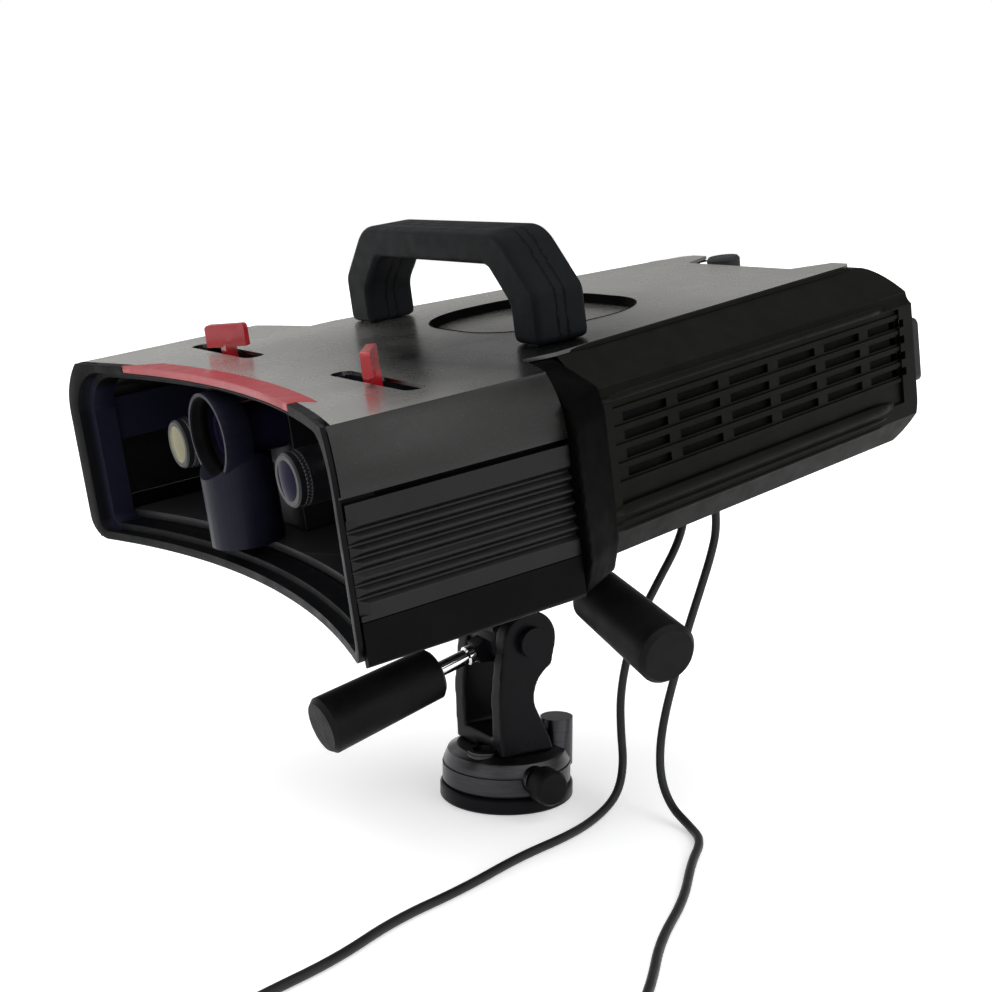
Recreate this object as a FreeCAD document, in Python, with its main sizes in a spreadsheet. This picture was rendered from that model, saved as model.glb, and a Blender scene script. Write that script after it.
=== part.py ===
# Desktop 3-D scanner on its three-way tripod head, millimetres, +Z up, front towards -Y.
# The row origin is the centre of the tripod head's base, on the surface it stands on.
# Scanner pieces are drawn level, with Y = 0 at the front tips and Z = 0 at the underside,
# and get one placement that sets them, nose down, on the head.
import math
import os

import FreeCAD
import Part
import Sketcher
from FreeCAD import Placement, Rotation, Vector

doc = FreeCAD.newDocument("ScannerOnHead")
sheet = doc.addObject("Spreadsheet::Sheet", "Sizes")


class Size:
    """A length with its value and the sheet expression that gives it."""

    def __init__(self, value, text):
        self.value = float(value)
        self.text = text

    def __add__(self, other):
        return join(self, other, "+", lambda a, b: a + b)

    def __radd__(self, other):
        return join(other, self, "+", lambda a, b: a + b)

    def __sub__(self, other):
        return join(self, other, "-", lambda a, b: a - b)

    def __rsub__(self, other):
        return join(other, self, "-", lambda a, b: a - b)

    def __mul__(self, other):
        return join(self, other, "*", lambda a, b: a * b)

    def __rmul__(self, other):
        return join(other, self, "*", lambda a, b: a * b)

    def __truediv__(self, other):
        return join(self, other, "/", lambda a, b: a / b)

    def __neg__(self):
        return Size(-self.value, f"(-1*{self.text})")

    def __float__(self):
        return self.value


def asSize(item):
    return item if isinstance(item, Size) else Size(item, f"({float(item):.6g})")


def join(left, right, sign, rule):
    left = asSize(left)
    right = asSize(right)
    return Size(rule(left.value, right.value), f"({left.text}{sign}{right.text})")


def root(item):
    return Size(math.sqrt(item.value), f"sqrt({item.text})")


# Driving dimensions: alias, value, what it is
drivingSizes = [
    ("headWidth", 356, "front head, flank to flank"),
    ("headHeight", 110, "front head, underside to top plate"),
    ("headDepth", 124, "front tips to collar"),
    ("windowSag", 28, "how far the middle of the front edge lies behind its tips"),
    ("shoulderRun", 13, "top plate's side edge in from the flank"),
    ("plateThick", 2, "top plates"),
    ("skin", 3.5, "moulded panels"),
    ("seam", 0.4, "gap between neighbouring panels"),
    ("shoulderDrop", 30.5, "top plate down to the groove above the ribs"),
    ("ribPanelTop", 76.5, "height of the ribbed panel's upper edge"),
    ("ribPanelFoot", 22, "height of the ribbed panel's lower edge"),
    ("ribPitch", 6.2, "ribs on the flank"),
    ("ribDepth", 2.6, "ribs on the flank"),
    ("ribCount", 6, "ribs on the flank"),
    ("flangeThick", 2.6, "window rim, front flange"),
    ("lipThick", 5, "window rim, outer lip"),
    ("lipStep", 4, "window rim, further step inwards"),
    ("lipDepth", 20, "window rim, front to back"),
    ("lipLedge", 7, "window rim, how far back the inner step starts"),
    ("trimDepth", 13, "coloured strip over the window, front to back"),
    ("trimHalf", 112, "coloured strip, half length"),
    ("trimThick", 4, "coloured strip"),
    ("collarBack", 157, "rear face of the collar"),
    ("collarStep", 6, "how far the collar's front stands out from the flank"),
    ("collarRim", 11, "how far the collar's rear stands out from the rear body"),
    ("collarThroat", 6, "rear body's flank to the opening through the collar"),
    ("waistIn", 26, "rear body's flank at the collar, in from the head's flank"),
    ("shellLength", 263, "rear side shells, front to back"),
    ("shellTaper", 46, "how much each flank closes in towards the rear"),
    ("shellRoundTop", 19, "rounding of the rear end, seen from the side, at the top"),
    ("shellRoundFoot", 28, "rounding of the rear end, seen from the side, at the foot"),
    ("bevelWidth", 28, "top bevel of the rear body, sideways"),
    ("rearTop", 107, "top of the rear side shells"),
    ("beltTop", 88, "upper edge of the rear flank"),
    ("beltFoot", 18, "lower edge of the rear flank"),
    ("ventPitchY", 40.4, "vent slots along the flank"),
    ("ventPitchZ", 9.5, "vent slots down the flank"),
    ("ventLength", 32, "vent slot"),
    ("ventHeight", 4.6, "vent slot"),
    ("ventFirst", 178, "front end of the first vent slot"),
    ("ventTop", 74, "top of the upper row of vent slots"),
    ("ventRows", 4, "rows of vent slots"),
    ("ventColumns", 6, "vent slots in a row"),
    ("chassisThick", 3, "chassis plate"),
    ("chassisLift", 1.5, "chassis plate above the underside"),
    ("gripWide", 32, "carry handle, front to back"),
    ("gripFront", 161, "carry handle's front face"),
    ("gripHalf", 105, "carry handle's half length"),
    ("gripLeg", 26, "carry handle's leg"),
    ("gripBar", 18, "carry handle's bar"),
    ("gripCrease", 136, "height where the leg starts to lean in"),
    ("gripTop", 168, "top of the carry handle"),
    ("gripTopHalf", 78, "half length of the handle's flat top"),
    ("gripCore", 5, "steel strap inside the handle"),
    ("slotCentre", 92, "lever slot's middle from the middle plane"),
    ("slotBack", 72, "lever slot's middle behind the tips"),
    ("slotLength", 86, "lever slot, end to end"),
    ("slotWidth", 12, "lever slot"),
    ("leverOut", 88, "lever stem from the middle plane"),
    ("leverStem", 7, "lever stem"),
    ("leverRise", 16, "lever flag above the top plate"),
    ("leverWide", 26, "lever flag"),
    ("leverThick", 5, "lever flag"),
    ("railRadius", 3, "rail that carries a lever"),
    ("runningGap", 0.05, "running fit, on the radius"),
    ("eyeOut", 72, "camera axis from the middle plane"),
    ("eyeHeight", 67, "camera axis above the underside"),
    ("eyeFront", 25, "front of the camera lens behind the tips"),
    ("eyeRadius", 14, "camera lens ring"),
    ("eyeLength", 16, "camera lens ring"),
    ("barrelRadius", 11, "camera lens barrel"),
    ("barrelLength", 30, "camera lens barrel"),
    ("bodyWide", 29, "camera body"),
    ("bodyDeep", 34, "camera body"),
    ("benchTop", 14, "optical bench, upper face"),
    ("benchThick", 5, "optical bench"),
    ("hoodOut", 30, "projector axis from the middle plane"),
    ("hoodHeight", 76, "projector axis above the underside"),
    ("hoodRadius", 24.5, "projector hood"),
    ("hoodLength", 16, "projector hood"),
    ("hoodStand", 20.5, "radius of the stand under the projector hood"),
    ("hoodWall", 2, "projector hood"),
    ("hoodFront", 27, "front of the projector hood behind the tips"),
    ("baffleFace", 96, "dark wall behind the cameras"),
    ("fanSize", 80, "cooling fan, frame"),
    ("fanHeight", 49, "fan shaft above the underside"),
    ("fanDepth", 25, "cooling fan, frame"),
    ("pitchDown", 8.6, "nose-down tilt at rest, degrees"),
    ("tiltHeight", 100, "tilt axis above the floor"),
    ("mountHeight", 75, "tilt axis to the scanner's underside"),
    ("mountBack", 180, "tilt axis plane behind the scanner's tips"),
    ("baseRadius", 40, "tripod head's base"),
    ("basePlate", 9, "thickness of the base plate"),
    ("panRadius", 38, "pan housing"),
    ("panTop", 32, "top of the pan housing"),
    ("shaftRadius", 12, "pan shaft"),
    ("knuckle", 18, "radius of the tilt knuckle"),
    ("blockWide", 30, "tilt block between the cheeks"),
    ("cheekThick", 11, "each cheek of the yoke"),
    ("tiltPin", 6, "radius of the tilt pin"),
    ("rollHeight", 36, "tilt axis to side-tilt axis"),
    ("rollPin", 7, "radius of the side-tilt pin"),
    ("platform", 36, "radius of the platform"),
    ("rodRadius", 4.5, "handle rods"),
    ("rodLength", 27, "front handle rod"),
    ("sideRodLength", 55, "side handle rod"),
    ("barGripSmall", 15.5, "handle grip, inner end radius"),
    ("barGripLarge", 17, "handle grip, outer end radius"),
    ("barGripLength", 76, "handle grip"),
    ("frontDroop", 7.5, "front handle below the tilt block's own level, degrees"),
    ("sideDroop", 12.5, "side handle below the platform's level, degrees"),
    ("sideSweep", 6, "side handle turned towards the front, degrees"),
    ("threadRadius", 4.76, "tripod screw socket, three-eighths inch"),
    ("threadDepth", 12, "tripod screw socket"),
    ("cordRadius", 2.5, "data and power cords"),
    ("glandRadius", 6, "cord gland"),
    ("coilTurns", 3, "turns in each layer of a coil"),
    ("coilInner", 20, "first centreline radius of a coil"),
    ("coilPitch", 6.4, "centreline pitch of a coil's turns"),
]
for row, (alias, value, note) in enumerate(drivingSizes, 1):
    sheet.set(f"A{row}", alias)
    sheet.set(f"B{row}", str(value))
    sheet.set(f"C{row}", note)
    sheet.setAlias(f"B{row}", alias)
doc.recompute()


class Sizes:
    """The driving dimensions by name."""


d = Sizes()
for alias, value, note in drivingSizes:
    setattr(d, alias, Size(value, f"Sizes.{alias}"))


# Placements
pitch = Rotation(Vector(1, 0, 0), d.pitchDown.value)
tiltPlace = Placement(Vector(0, 0, d.tiltHeight.value), pitch)
scannerPlace = tiltPlace.multiply(
    Placement(Vector(0, -d.mountBack.value, d.mountHeight.value), Rotation())
)
levelPlace = Placement()

planTurn = Rotation()
frontTurn = Rotation(Vector(1, 0, 0), 90)
sideTurn = Rotation(Vector(1, 1, 1), 120)
turns = {"plan": planTurn, "front": frontTurn, "side": sideTurn}
normals = {"plan": Vector(0, 0, 1), "front": Vector(0, 1, 0), "side": Vector(1, 0, 0)}
offsets = {"plan": "Placement.Base.z", "front": "Placement.Base.y", "side": "Placement.Base.x"}

pieces = []


def bind(thing, where, item):
    """Bind a property to its sheet expression."""
    thing.setExpression(where, asSize(item).text)


def keep(thing, label, place=None):
    """Name a finished sub-part and put it in place."""
    thing.Label = label
    if place is not None:
        thing.Placement = place
    pieces.append(thing)
    return thing


def fixPoint(sketch, edge, end, x, y):
    """Hold one end of an edge at its expressions."""
    for kind, item in (("DistanceX", x), ("DistanceY", y)):
        item = asSize(item)
        number = sketch.addConstraint(Sketcher.Constraint(kind, -1, 1, edge, end, item.value))
        sketch.setExpression(f"Constraints[{number}]", item.text)


def drawLoop(sketch, loop):
    """Draw a closed loop of (x, y) corners; a third item is the bulge of the edge that follows."""
    if loop[0] == "circle":
        kind, x, y, radius = loop
        centre = Vector(float(x), float(y), 0)
        edge = sketch.addGeometry(Part.Circle(centre, Vector(0, 0, 1), float(radius)), False)
        fixPoint(sketch, edge, 3, x, y)
        number = sketch.addConstraint(Sketcher.Constraint("Radius", edge, float(radius)))
        sketch.setExpression(f"Constraints[{number}]", asSize(radius).text)
        return
    ends = []
    for corner, following in zip(loop, loop[1:] + loop[:1]):
        start = Vector(float(corner[0]), float(corner[1]), 0)
        stop = Vector(float(following[0]), float(following[1]), 0)
        bulge = asSize(corner[2]) if len(corner) > 2 else None
        if bulge is None:
            edge = sketch.addGeometry(Part.LineSegment(start, stop), False)
            ends.append((edge, 1, 2))
            continue
        along = stop - start
        side = Vector(-along.y, along.x, 0).normalize()
        middle = (start + stop) * 0.5 + side * bulge.value
        edge = sketch.addGeometry(Part.Arc(start, middle, stop), False)
        first = sketch.getPoint(edge, 1)
        ends.append((edge, 1, 2) if (first - start).Length < 1e-4 else (edge, 2, 1))
        height = bulge if bulge.value > 0 else -bulge
        runX = asSize(following[0]) - corner[0]
        runY = asSize(following[1]) - corner[1]
        chord = (runX * runX + runY * runY) / 4
        radius = (chord + height * height) / (2 * height)
        number = sketch.addConstraint(Sketcher.Constraint("Radius", edge, radius.value))
        sketch.setExpression(f"Constraints[{number}]", radius.text)
    for (edge, start, stop), (nextEdge, nextStart, nextStop) in zip(ends, ends[1:] + ends[:1]):
        sketch.addConstraint(Sketcher.Constraint("Coincident", edge, stop, nextEdge, nextStart))
    for (edge, start, stop), corner in zip(ends, loop):
        fixPoint(sketch, edge, start, corner[0], corner[1])


def drawing(plane, loops, start):
    """A sketch standing by itself, on a plane square to an axis."""
    sketch = doc.addObject("Sketcher::SketchObject", "Outline")
    sketch.Placement = Placement(normals[plane] * float(start), turns[plane])
    bind(sketch, offsets[plane], start)
    for loop in loops:
        drawLoop(sketch, loop)
    return sketch


def prism(plane, loops, start, length, lean=None):
    """Loops drawn at start on a plane and pulled along its axis by length; lean shifts X on the way."""
    solid = doc.addObject("Part::Extrusion", "Prism")
    solid.Base = drawing(plane, loops, start)
    solid.DirMode = "Custom"
    solid.Solid = True
    solid.LengthFwd = 0
    solid.Dir = normals[plane] * float(length)
    axis = {"plan": "Dir.z", "front": "Dir.y", "side": "Dir.x"}[plane]
    bind(solid, axis, length)
    if lean is not None:
        bind(solid, "Dir.x", lean)
    return solid


def block(x0, x1, y0, y1, z0, z1):
    """A box between six planes."""
    solid = doc.addObject("Part::Box", "Block")
    for side, low, high in (("x", x0, x1), ("y", y0, y1), ("z", z0, z1)):
        edge = {"x": "Length", "y": "Width", "z": "Height"}[side]
        bind(solid, f"Placement.Base.{side}", low)
        bind(solid, edge, asSize(high) - low)
    return solid


def rod(axis, x, y, z, radius, length):
    """A cylinder that starts at a point and runs along an axis."""
    solid = doc.addObject("Part::Cylinder", "Rod")
    solid.Placement.Rotation = {
        "x": Rotation(Vector(0, 1, 0), 90),
        "y": Rotation(Vector(1, 0, 0), -90),
        "z": Rotation(),
    }[axis]
    bind(solid, "Radius", radius)
    bind(solid, "Height", length)
    for side, item in (("x", x), ("y", y), ("z", z)):
        bind(solid, f"Placement.Base.{side}", item)
    return solid


def fuse(*shapes):
    solid = doc.addObject("Part::MultiFuse", "Union")
    solid.Shapes = list(shapes)
    return solid


def common(*shapes):
    solid = doc.addObject("Part::MultiCommon", "Common")
    solid.Shapes = list(shapes)
    return solid


def cut(base, *tools):
    solid = doc.addObject("Part::Cut", "Cut")
    solid.Base = base
    solid.Tool = tools[0] if len(tools) == 1 else fuse(*tools)
    return solid


def group(*shapes):
    """Separate solids in one node, such as a set of screws."""
    solid = doc.addObject("Part::Compound", "Group")
    solid.Links = list(shapes)
    return solid


def onPlane(body, plane, loops, start=0):
    """A sketch on one of a body's own origin planes."""
    role = {"plan": "XY_Plane", "front": "XZ_Plane", "side": "YZ_Plane"}[plane]
    sketch = body.newObject("Sketcher::SketchObject", "Sketch")
    support = next(item for item in body.Origin.OriginFeatures if item.Role == role)
    sketch.AttachmentSupport = [(support, "")]
    sketch.MapMode = "FlatFace"
    bind(sketch, "AttachmentOffset.Base.z", -asSize(start) if plane == "front" else start)
    for loop in loops:
        drawLoop(sketch, loop)
    return sketch


def turned(loop):
    """A body turned about Z from a half outline of (radius, height) corners."""
    body = doc.addObject("PartDesign::Body", "Body")
    sketch = onPlane(body, "front", [loop])
    revolution = body.newObject("PartDesign::Revolution", "Revolution")
    revolution.Profile = sketch
    revolution.ReferenceAxis = (sketch, ["V_Axis"])
    revolution.Angle = 360
    return body


def rectangle(x0, x1, y0, y1):
    return [(x0, y0), (x1, y0), (x1, y1), (x0, y1)]


def roundedRectangle(x0, x1, y0, y1, radius):
    """Four lines and four quarter arcs, anticlockwise."""
    bulge = -asSize(radius) * (1 - math.sqrt(0.5))
    x0, x1, y0, y1 = (asSize(item) for item in (x0, x1, y0, y1))
    return [
        (x0 + radius, y0),
        (x1 - radius, y0, bulge),
        (x1, y0 + radius),
        (x1, y1 - radius, bulge),
        (x1 - radius, y1),
        (x0 + radius, y1, bulge),
        (x0, y1 - radius),
        (x0, y0 + radius, bulge),
    ]


def sided(sign, loop):
    """A loop drawn for the right side, moved to the left when sign is -1."""
    if sign > 0:
        return loop
    flipped = []
    for corner in loop:
        bulge = [-asSize(corner[2])] if len(corner) > 2 else []
        flipped.append((-asSize(corner[0]), corner[1], *bulge))
    return flipped


sides = (("right", 1), ("left", -1))

# Scanner, front head
halfHead = d.headWidth / 2
plateHalfWidth = halfHead - d.shoulderRun
plateFloor = d.headHeight - d.plateThick
shellHalfFront = halfHead - d.waistIn
collarHalfFront = halfHead + d.collarStep
collarHalfBack = shellHalfFront + d.collarRim
collarBore = shellHalfFront - d.collarThroat
shellStart = d.collarBack + 1
shellEnd = shellStart + d.shellLength
trimClear = 0.3


def frontLine(x):
    """How far back the concave front edge lies at a distance from the middle."""
    radius = (halfHead * halfHead + d.windowSag * d.windowSag) / (2 * d.windowSag)
    return d.windowSag - radius + root(radius * radius - x * x)


def frontBand(near, far):
    """Plan loop between two copies of the front edge, moved back by near and far."""
    return [
        (-halfHead, near, d.windowSag),
        (halfHead, near),
        (halfHead, far, -d.windowSag),
        (-halfHead, far),
    ]


def rimOutline(inset, topRadius, footRadius):
    """The window rim's outline seen from the front, inset by a wall."""
    side = halfHead - d.skin - d.seam - inset
    foot = asSize(inset) + 0.05
    top = d.headHeight - inset
    topBulge = -asSize(topRadius) * (1 - math.sqrt(0.5))
    footBulge = -asSize(footRadius) * (1 - math.sqrt(0.5))
    return [
        (-side + footRadius, foot),
        (side - footRadius, foot, footBulge),
        (side, foot + footRadius),
        (side, top - topRadius, topBulge),
        (side - topRadius, top),
        (-side + topRadius, top, topBulge),
        (-side, top - topRadius),
        (-side, foot + footRadius, footBulge),
    ]


def flangeOutline():
    """The window rim's thin front flange, which follows the flank panels' outer faces."""
    side = halfHead - 0.5
    foot = 14
    return [
        (-side + foot, 0.05),
        (side - foot, 0.05, -foot * (1 - math.sqrt(0.5))),
        (side, 0.05 + foot),
        (side, d.headHeight - d.shoulderDrop, -3.4),
        (plateHalfWidth - 0.5, d.headHeight - 0.1),
        (-plateHalfWidth + 0.5, d.headHeight - 0.1, -3.4),
        (-side, d.headHeight - d.shoulderDrop),
        (-side, 0.05 + foot, -foot * (1 - math.sqrt(0.5))),
    ]


def trimZone(grow):
    """Plan outline of the strip over the window, its ends cut on the slant."""
    end = d.trimHalf + grow
    return [
        (-end - 10, -5),
        (end - 15, -5),
        (end - 13, 26),
        (end + 1, 32),
        (end + 1, 60),
        (-end + 19, 60),
        (-end + 19, 34.5),
        (-end - 10, 12),
    ]


def makeFrontBezel():
    depth = 2 * d.headDepth
    rimBack = d.lipDepth
    tall = d.headHeight + 20
    outer = prism("front", [rimOutline(0, 30, 10), rimOutline(d.lipThick, 25, 6)], -5, depth)
    inset = d.lipThick + d.lipStep
    inner = prism("front", [rimOutline(0.5, 29.5, 9.5), rimOutline(inset, 22, 5)], -5, depth)
    lip = common(outer, prism("plan", [frontBand(0, rimBack)], -2, tall))
    sheet = prism("front", [flangeOutline(), rimOutline(1, 29, 9)], -5, depth)
    flange = common(sheet, prism("plan", [frontBand(0, d.flangeThick)], -2, tall))
    step = common(inner, prism("plan", [frontBand(d.lipLedge, rimBack)], -2, tall))
    pocket = common(
        prism("plan", [trimZone(trimClear)], d.headHeight - d.trimThick - 0.1, 20),
        prism("plan", [frontBand(-2, d.trimDepth + trimClear)], d.headHeight - 10, 20),
    )
    seat = prism("plan", [frontBand(d.lipThick + 0.1, 60)], plateFloor - 0.1, 20)
    keep(cut(fuse(lip, step, flange), pocket, seat), "front_bezel", scannerPlace)


def makeRedTrim():
    floor = d.headHeight - d.trimThick
    strip = common(
        prism("plan", [trimZone(0)], floor, d.trimThick + 0.4),
        prism("plan", [frontBand(0, d.trimDepth)], floor, d.trimThick + 0.4),
    )
    keep(strip, "red_trim", scannerPlace)


platePlay = 0.3
backSag = Size(28.5, "28.5")


def backLine(x):
    """The curved joint between the two top plates, at a distance from the middle."""
    radius = (plateHalfWidth * plateHalfWidth + backSag * backSag) / (2 * backSag)
    return d.headDepth + backSag - radius + root(radius * radius - asSize(x) * x)


def leverSlot(sign):
    half = d.slotLength / 2
    radius = d.slotWidth / 2
    middle = d.slotCentre * sign
    return roundedRectangle(
        middle - half, middle + half, d.slotBack - radius, d.slotBack + radius, radius - 0.01
    )


def makeFrontTopPlate():
    side = plateHalfWidth - 0.2
    start = frontLine(side) + d.lipThick + platePlay
    sag = d.windowSag - frontLine(side)
    outline = [
        (-side, start, sag),
        (side, start),
        (side, d.headDepth, -backSag),
        (-side, d.headDepth),
    ]
    plate = prism("plan", [outline, leverSlot(1), leverSlot(-1)], plateFloor, d.plateThick)
    trim = common(
        prism("plan", [trimZone(trimClear)], plateFloor - 1, 20),
        prism("plan", [frontBand(-2, d.trimDepth + trimClear)], plateFloor - 1, 20),
    )
    keep(cut(plate, trim), "front_top_plate", scannerPlace)


def makeShoulderPanel(side, sign):
    top = d.headHeight
    foot = d.headHeight - d.shoulderDrop
    edge = plateHalfWidth
    under = plateFloor - 0.2
    loop = [
        (edge, top, 3.5),
        (halfHead, foot),
        (halfHead - d.skin, foot, -3.2),
        (edge - d.skin, under - 2.4),
        (edge - 15, under - 2.4),
        (edge - 15, under),
        (edge, under),
    ]
    panel = prism("front", [sided(sign, loop)], 1.5, d.headDepth - 1.5 - d.seam)
    clear = prism("plan", [frontBand(-9, d.lipDepth + 0.4)], 90, 30)
    inner = prism("front", [rimOutline(-0.25, 30, 10)], -5, 90)
    front = prism("plan", [frontBand(-9, d.flangeThick + d.seam)], 60, 60)
    keep(cut(panel, common(clear, inner), front), f"{side}_shoulder_panel", scannerPlace)


def makeRibPanel(side, sign):
    outer = halfHead
    inner = halfHead - d.skin
    valley = outer - d.ribDepth
    top = d.ribPanelTop
    flat = top - 9.5
    loop = [(inner, d.ribPanelFoot), (outer, d.ribPanelFoot)]
    ribs = int(d.ribCount.value)
    for number in range(ribs):
        crest = flat - (ribs - number) * d.ribPitch
        loop += [
            (outer, crest),
            (valley, crest + d.ribPitch * 0.35),
            (valley, crest + d.ribPitch * 0.5),
            (outer, crest + d.ribPitch * 0.85),
        ]
    loop += [(outer, flat), (outer, top), (inner, top)]
    start = d.flangeThick + 1.2
    panel = prism("front", [sided(sign, loop)], start, d.headDepth - start - d.seam)
    chamfer = prism(
        "plan",
        [sided(sign, [(outer - 3, 1.5), (outer + 2, 1.5), (outer + 2, 14)])],
        d.ribPanelFoot + 3,
        flat - d.ribPanelFoot - 1,
    )
    keep(cut(panel, chamfer), f"{side}_rib_panel", scannerPlace)


def makeLowerPanel(side, sign):
    inner = halfHead - d.skin
    top = d.ribPanelFoot - d.seam
    loop = [
        (halfHead, top),
        (inner, top),
        (inner, 0.1),
        (halfHead - 2.6, 0.1, -0.7),
        (halfHead, 2.7),
    ]
    start = d.flangeThick + 1.2
    panel = prism("front", [sided(sign, loop)], start, d.headDepth - start - d.seam)
    keep(panel, f"{side}_lower_panel", scannerPlace)


def collarOutline(half, top, corner, belt, foot):
    """Half outline of the collar, then the same on the other side."""
    right = [
        (corner, top),
        (half - 4, belt + 12),
        (half, belt),
        (half, foot),
        (half - 7, 1),
        (half - 20, -2),
    ]
    left = [(-asSize(x), z) for x, z in reversed(right)]
    return right + left


def makeCollarFrame():
    top = d.rearTop - 0.3
    front = collarOutline(collarHalfFront, top, plateHalfWidth - 2, 82, 18)
    back = collarOutline(collarHalfBack, top, shellHalfFront - d.bevelWidth - 2, 84, 18)
    solid = doc.addObject("Part::Loft", "Loft")
    solid.Sections = [
        drawing("front", [front], d.headDepth),
        drawing("front", [back], d.collarBack),
    ]
    solid.Solid = True
    solid.Ruled = True
    bore = collarBore
    opening = [
        (-bore, 1.2),
        (bore, 1.2),
        (bore, 84),
        (bore - 34, top - 4),
        (-bore + 34, top - 4),
        (-bore, 84),
    ]
    way = prism("front", [opening], d.headDepth - 5, 60)
    keep(cut(solid, way), "collar_frame", scannerPlace)


def makeChassisPlate():
    back = frontLine(halfHead - d.skin - 1) + d.lipDepth + 0.4
    head = halfHead - d.skin - 1
    waist = collarBore - 1
    flange = shellHalfFront - d.bevelWidth - 13
    outline = [
        (-head, back, d.windowSag - frontLine(head)),
        (head, back),
        (head, d.headDepth - 1),
        (waist, d.headDepth - 1),
        (waist, shellStart - 2),
        (flange, shellStart - 2),
        (flange - d.shellTaper, shellEnd - d.shellRoundFoot),
        (-flange + d.shellTaper, shellEnd - d.shellRoundFoot),
        (-flange, shellStart - 2),
        (-waist, shellStart - 2),
        (-waist, d.headDepth - 1),
        (-head, d.headDepth - 1),
    ]
    bolt = ("circle", 0, d.mountBack, 5)
    keep(
        prism("plan", [outline, bolt], d.chassisLift, d.chassisThick),
        "chassis_plate",
        scannerPlace,
    )


# Scanner, rear body
def shellLoop():
    """Section of a rear side shell at the collar: bevel, flank, lower bevel and two flanges."""
    flank = shellHalfFront
    top = d.rearTop
    crown = flank - d.bevelWidth
    wall = d.skin
    return [
        (crown, top),
        (flank - 4, d.beltTop + 2.7, -1.1),
        (flank, d.beltTop - 4),
        (flank, d.beltFoot),
        (flank - 10, 3),
        (flank - 30, 0.1),
        (crown - 12, 0.1),
        (crown - 12, 3),
        (flank - 31, 3),
        (flank - 11.6, 6),
        (flank - wall, d.beltFoot + 1),
        (flank - wall, d.beltTop - 2),
        (crown - 1, top - 3),
        (crown - 12, top - 3),
        (crown - 12, top),
    ]


def roundedEnd():
    """Side view of the rear body with its rounded rear corners."""
    top = d.shellRoundTop
    foot = d.shellRoundFoot
    share = 1 - math.sqrt(0.5)
    return [
        (shellStart - 1, -1),
        (shellEnd - foot, -1),
        (shellEnd - foot, 0, -foot * share),
        (shellEnd, foot),
        (shellEnd, d.rearTop - top, -top * share),
        (shellEnd - top, d.rearTop),
        (shellEnd - top, d.rearTop + 1),
        (shellStart - 1, d.rearTop + 1),
    ]


def makeRearShell(side, sign):
    start = shellStart
    length = shellEnd - shellStart
    lean = -d.shellTaper * sign
    whole = prism("front", [sided(sign, shellLoop())], start, length, lean)
    shell = common(whole, prism("side", [roundedEnd()], -220, 440))
    field = rectangle(shellHalfFront - 2, shellHalfFront + 4, 27, 83)
    recess = common(
        prism("front", [sided(sign, field)], start, length, lean),
        block(-200, 200, start + 12, shellEnd - 13, 0, 120),
    )
    vents = []
    for line in range(int(d.ventRows.value)):
        middle = d.ventTop - line * d.ventPitchZ
        for column in range(int(d.ventColumns.value)):
            front = d.ventFirst + column * d.ventPitchY
            half = d.ventHeight / 2
            vents.append(rectangle(front, front + d.ventLength, middle - half, middle + half))
    reach = 60
    first = shellHalfFront - reach + 4 if sign > 0 else -shellHalfFront - 4
    slots = prism("side", vents, first, reach)
    ribs = []
    for line in range(int(d.ventRows.value) + 1):
        middle = d.ventTop - (line - 0.5) * d.ventPitchZ
        ribs.append(
            sided(
                sign,
                rectangle(
                    shellHalfFront - 2.5, shellHalfFront - 0.7, middle - 1.1, middle + 1.1
                ),
            )
        )
    bars = common(
        prism("front", ribs, start, length, lean),
        block(-200, 200, start + 11, shellEnd - 12, 0, 120),
    )
    keep(fuse(cut(shell, fuse(recess, slots)), bars), f"{side}_rear_shell", scannerPlace)


def makeRearTopPlate():
    floor = d.rearTop + 0.2
    crown = shellHalfFront - d.bevelWidth
    front = crown - 2
    begin = backLine(front) + 1.4
    sag = backLine(0) - backLine(front)
    end = shellEnd - d.shellRoundTop + 2
    tail = crown - d.shellTaper
    outline = [
        (-front, begin, sag),
        (front, begin),
        (crown - 0.5, shellStart),
        (tail + 1, end - 6),
        (tail - 5, end),
        (60, end),
        (49, end - 24),
        (-49, end - 24),
        (-60, end),
        (-tail + 5, end),
        (-tail - 1, end - 6),
        (-crown + 0.5, shellStart),
    ]
    dish = roundedRectangle(-63, 63, 169, 281, 50)
    plate = prism("plan", [outline, dish], floor, d.plateThick)
    deep = 5
    cup = cut(
        prism("plan", [dish], floor - deep, deep + d.plateThick),
        prism("plan", [roundedRectangle(-61.5, 61.5, 170.5, 279.5, 48.5)], floor - deep + 1.5, 30),
    )
    bolts = [
        rod("z", sign * (d.gripHalf - d.gripLeg / 2), y, floor - 5, 2.7, 20)
        for sign in (1, -1)
        for y in handleBoltRows()
    ]
    keep(cut(fuse(plate, cup), *bolts), "rear_top_plate", scannerPlace)


def handleBoltRows():
    middle = d.gripFront + d.gripWide / 2
    return (middle - 8, middle + 8)


buttonBack = shellEnd - 24


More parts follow.
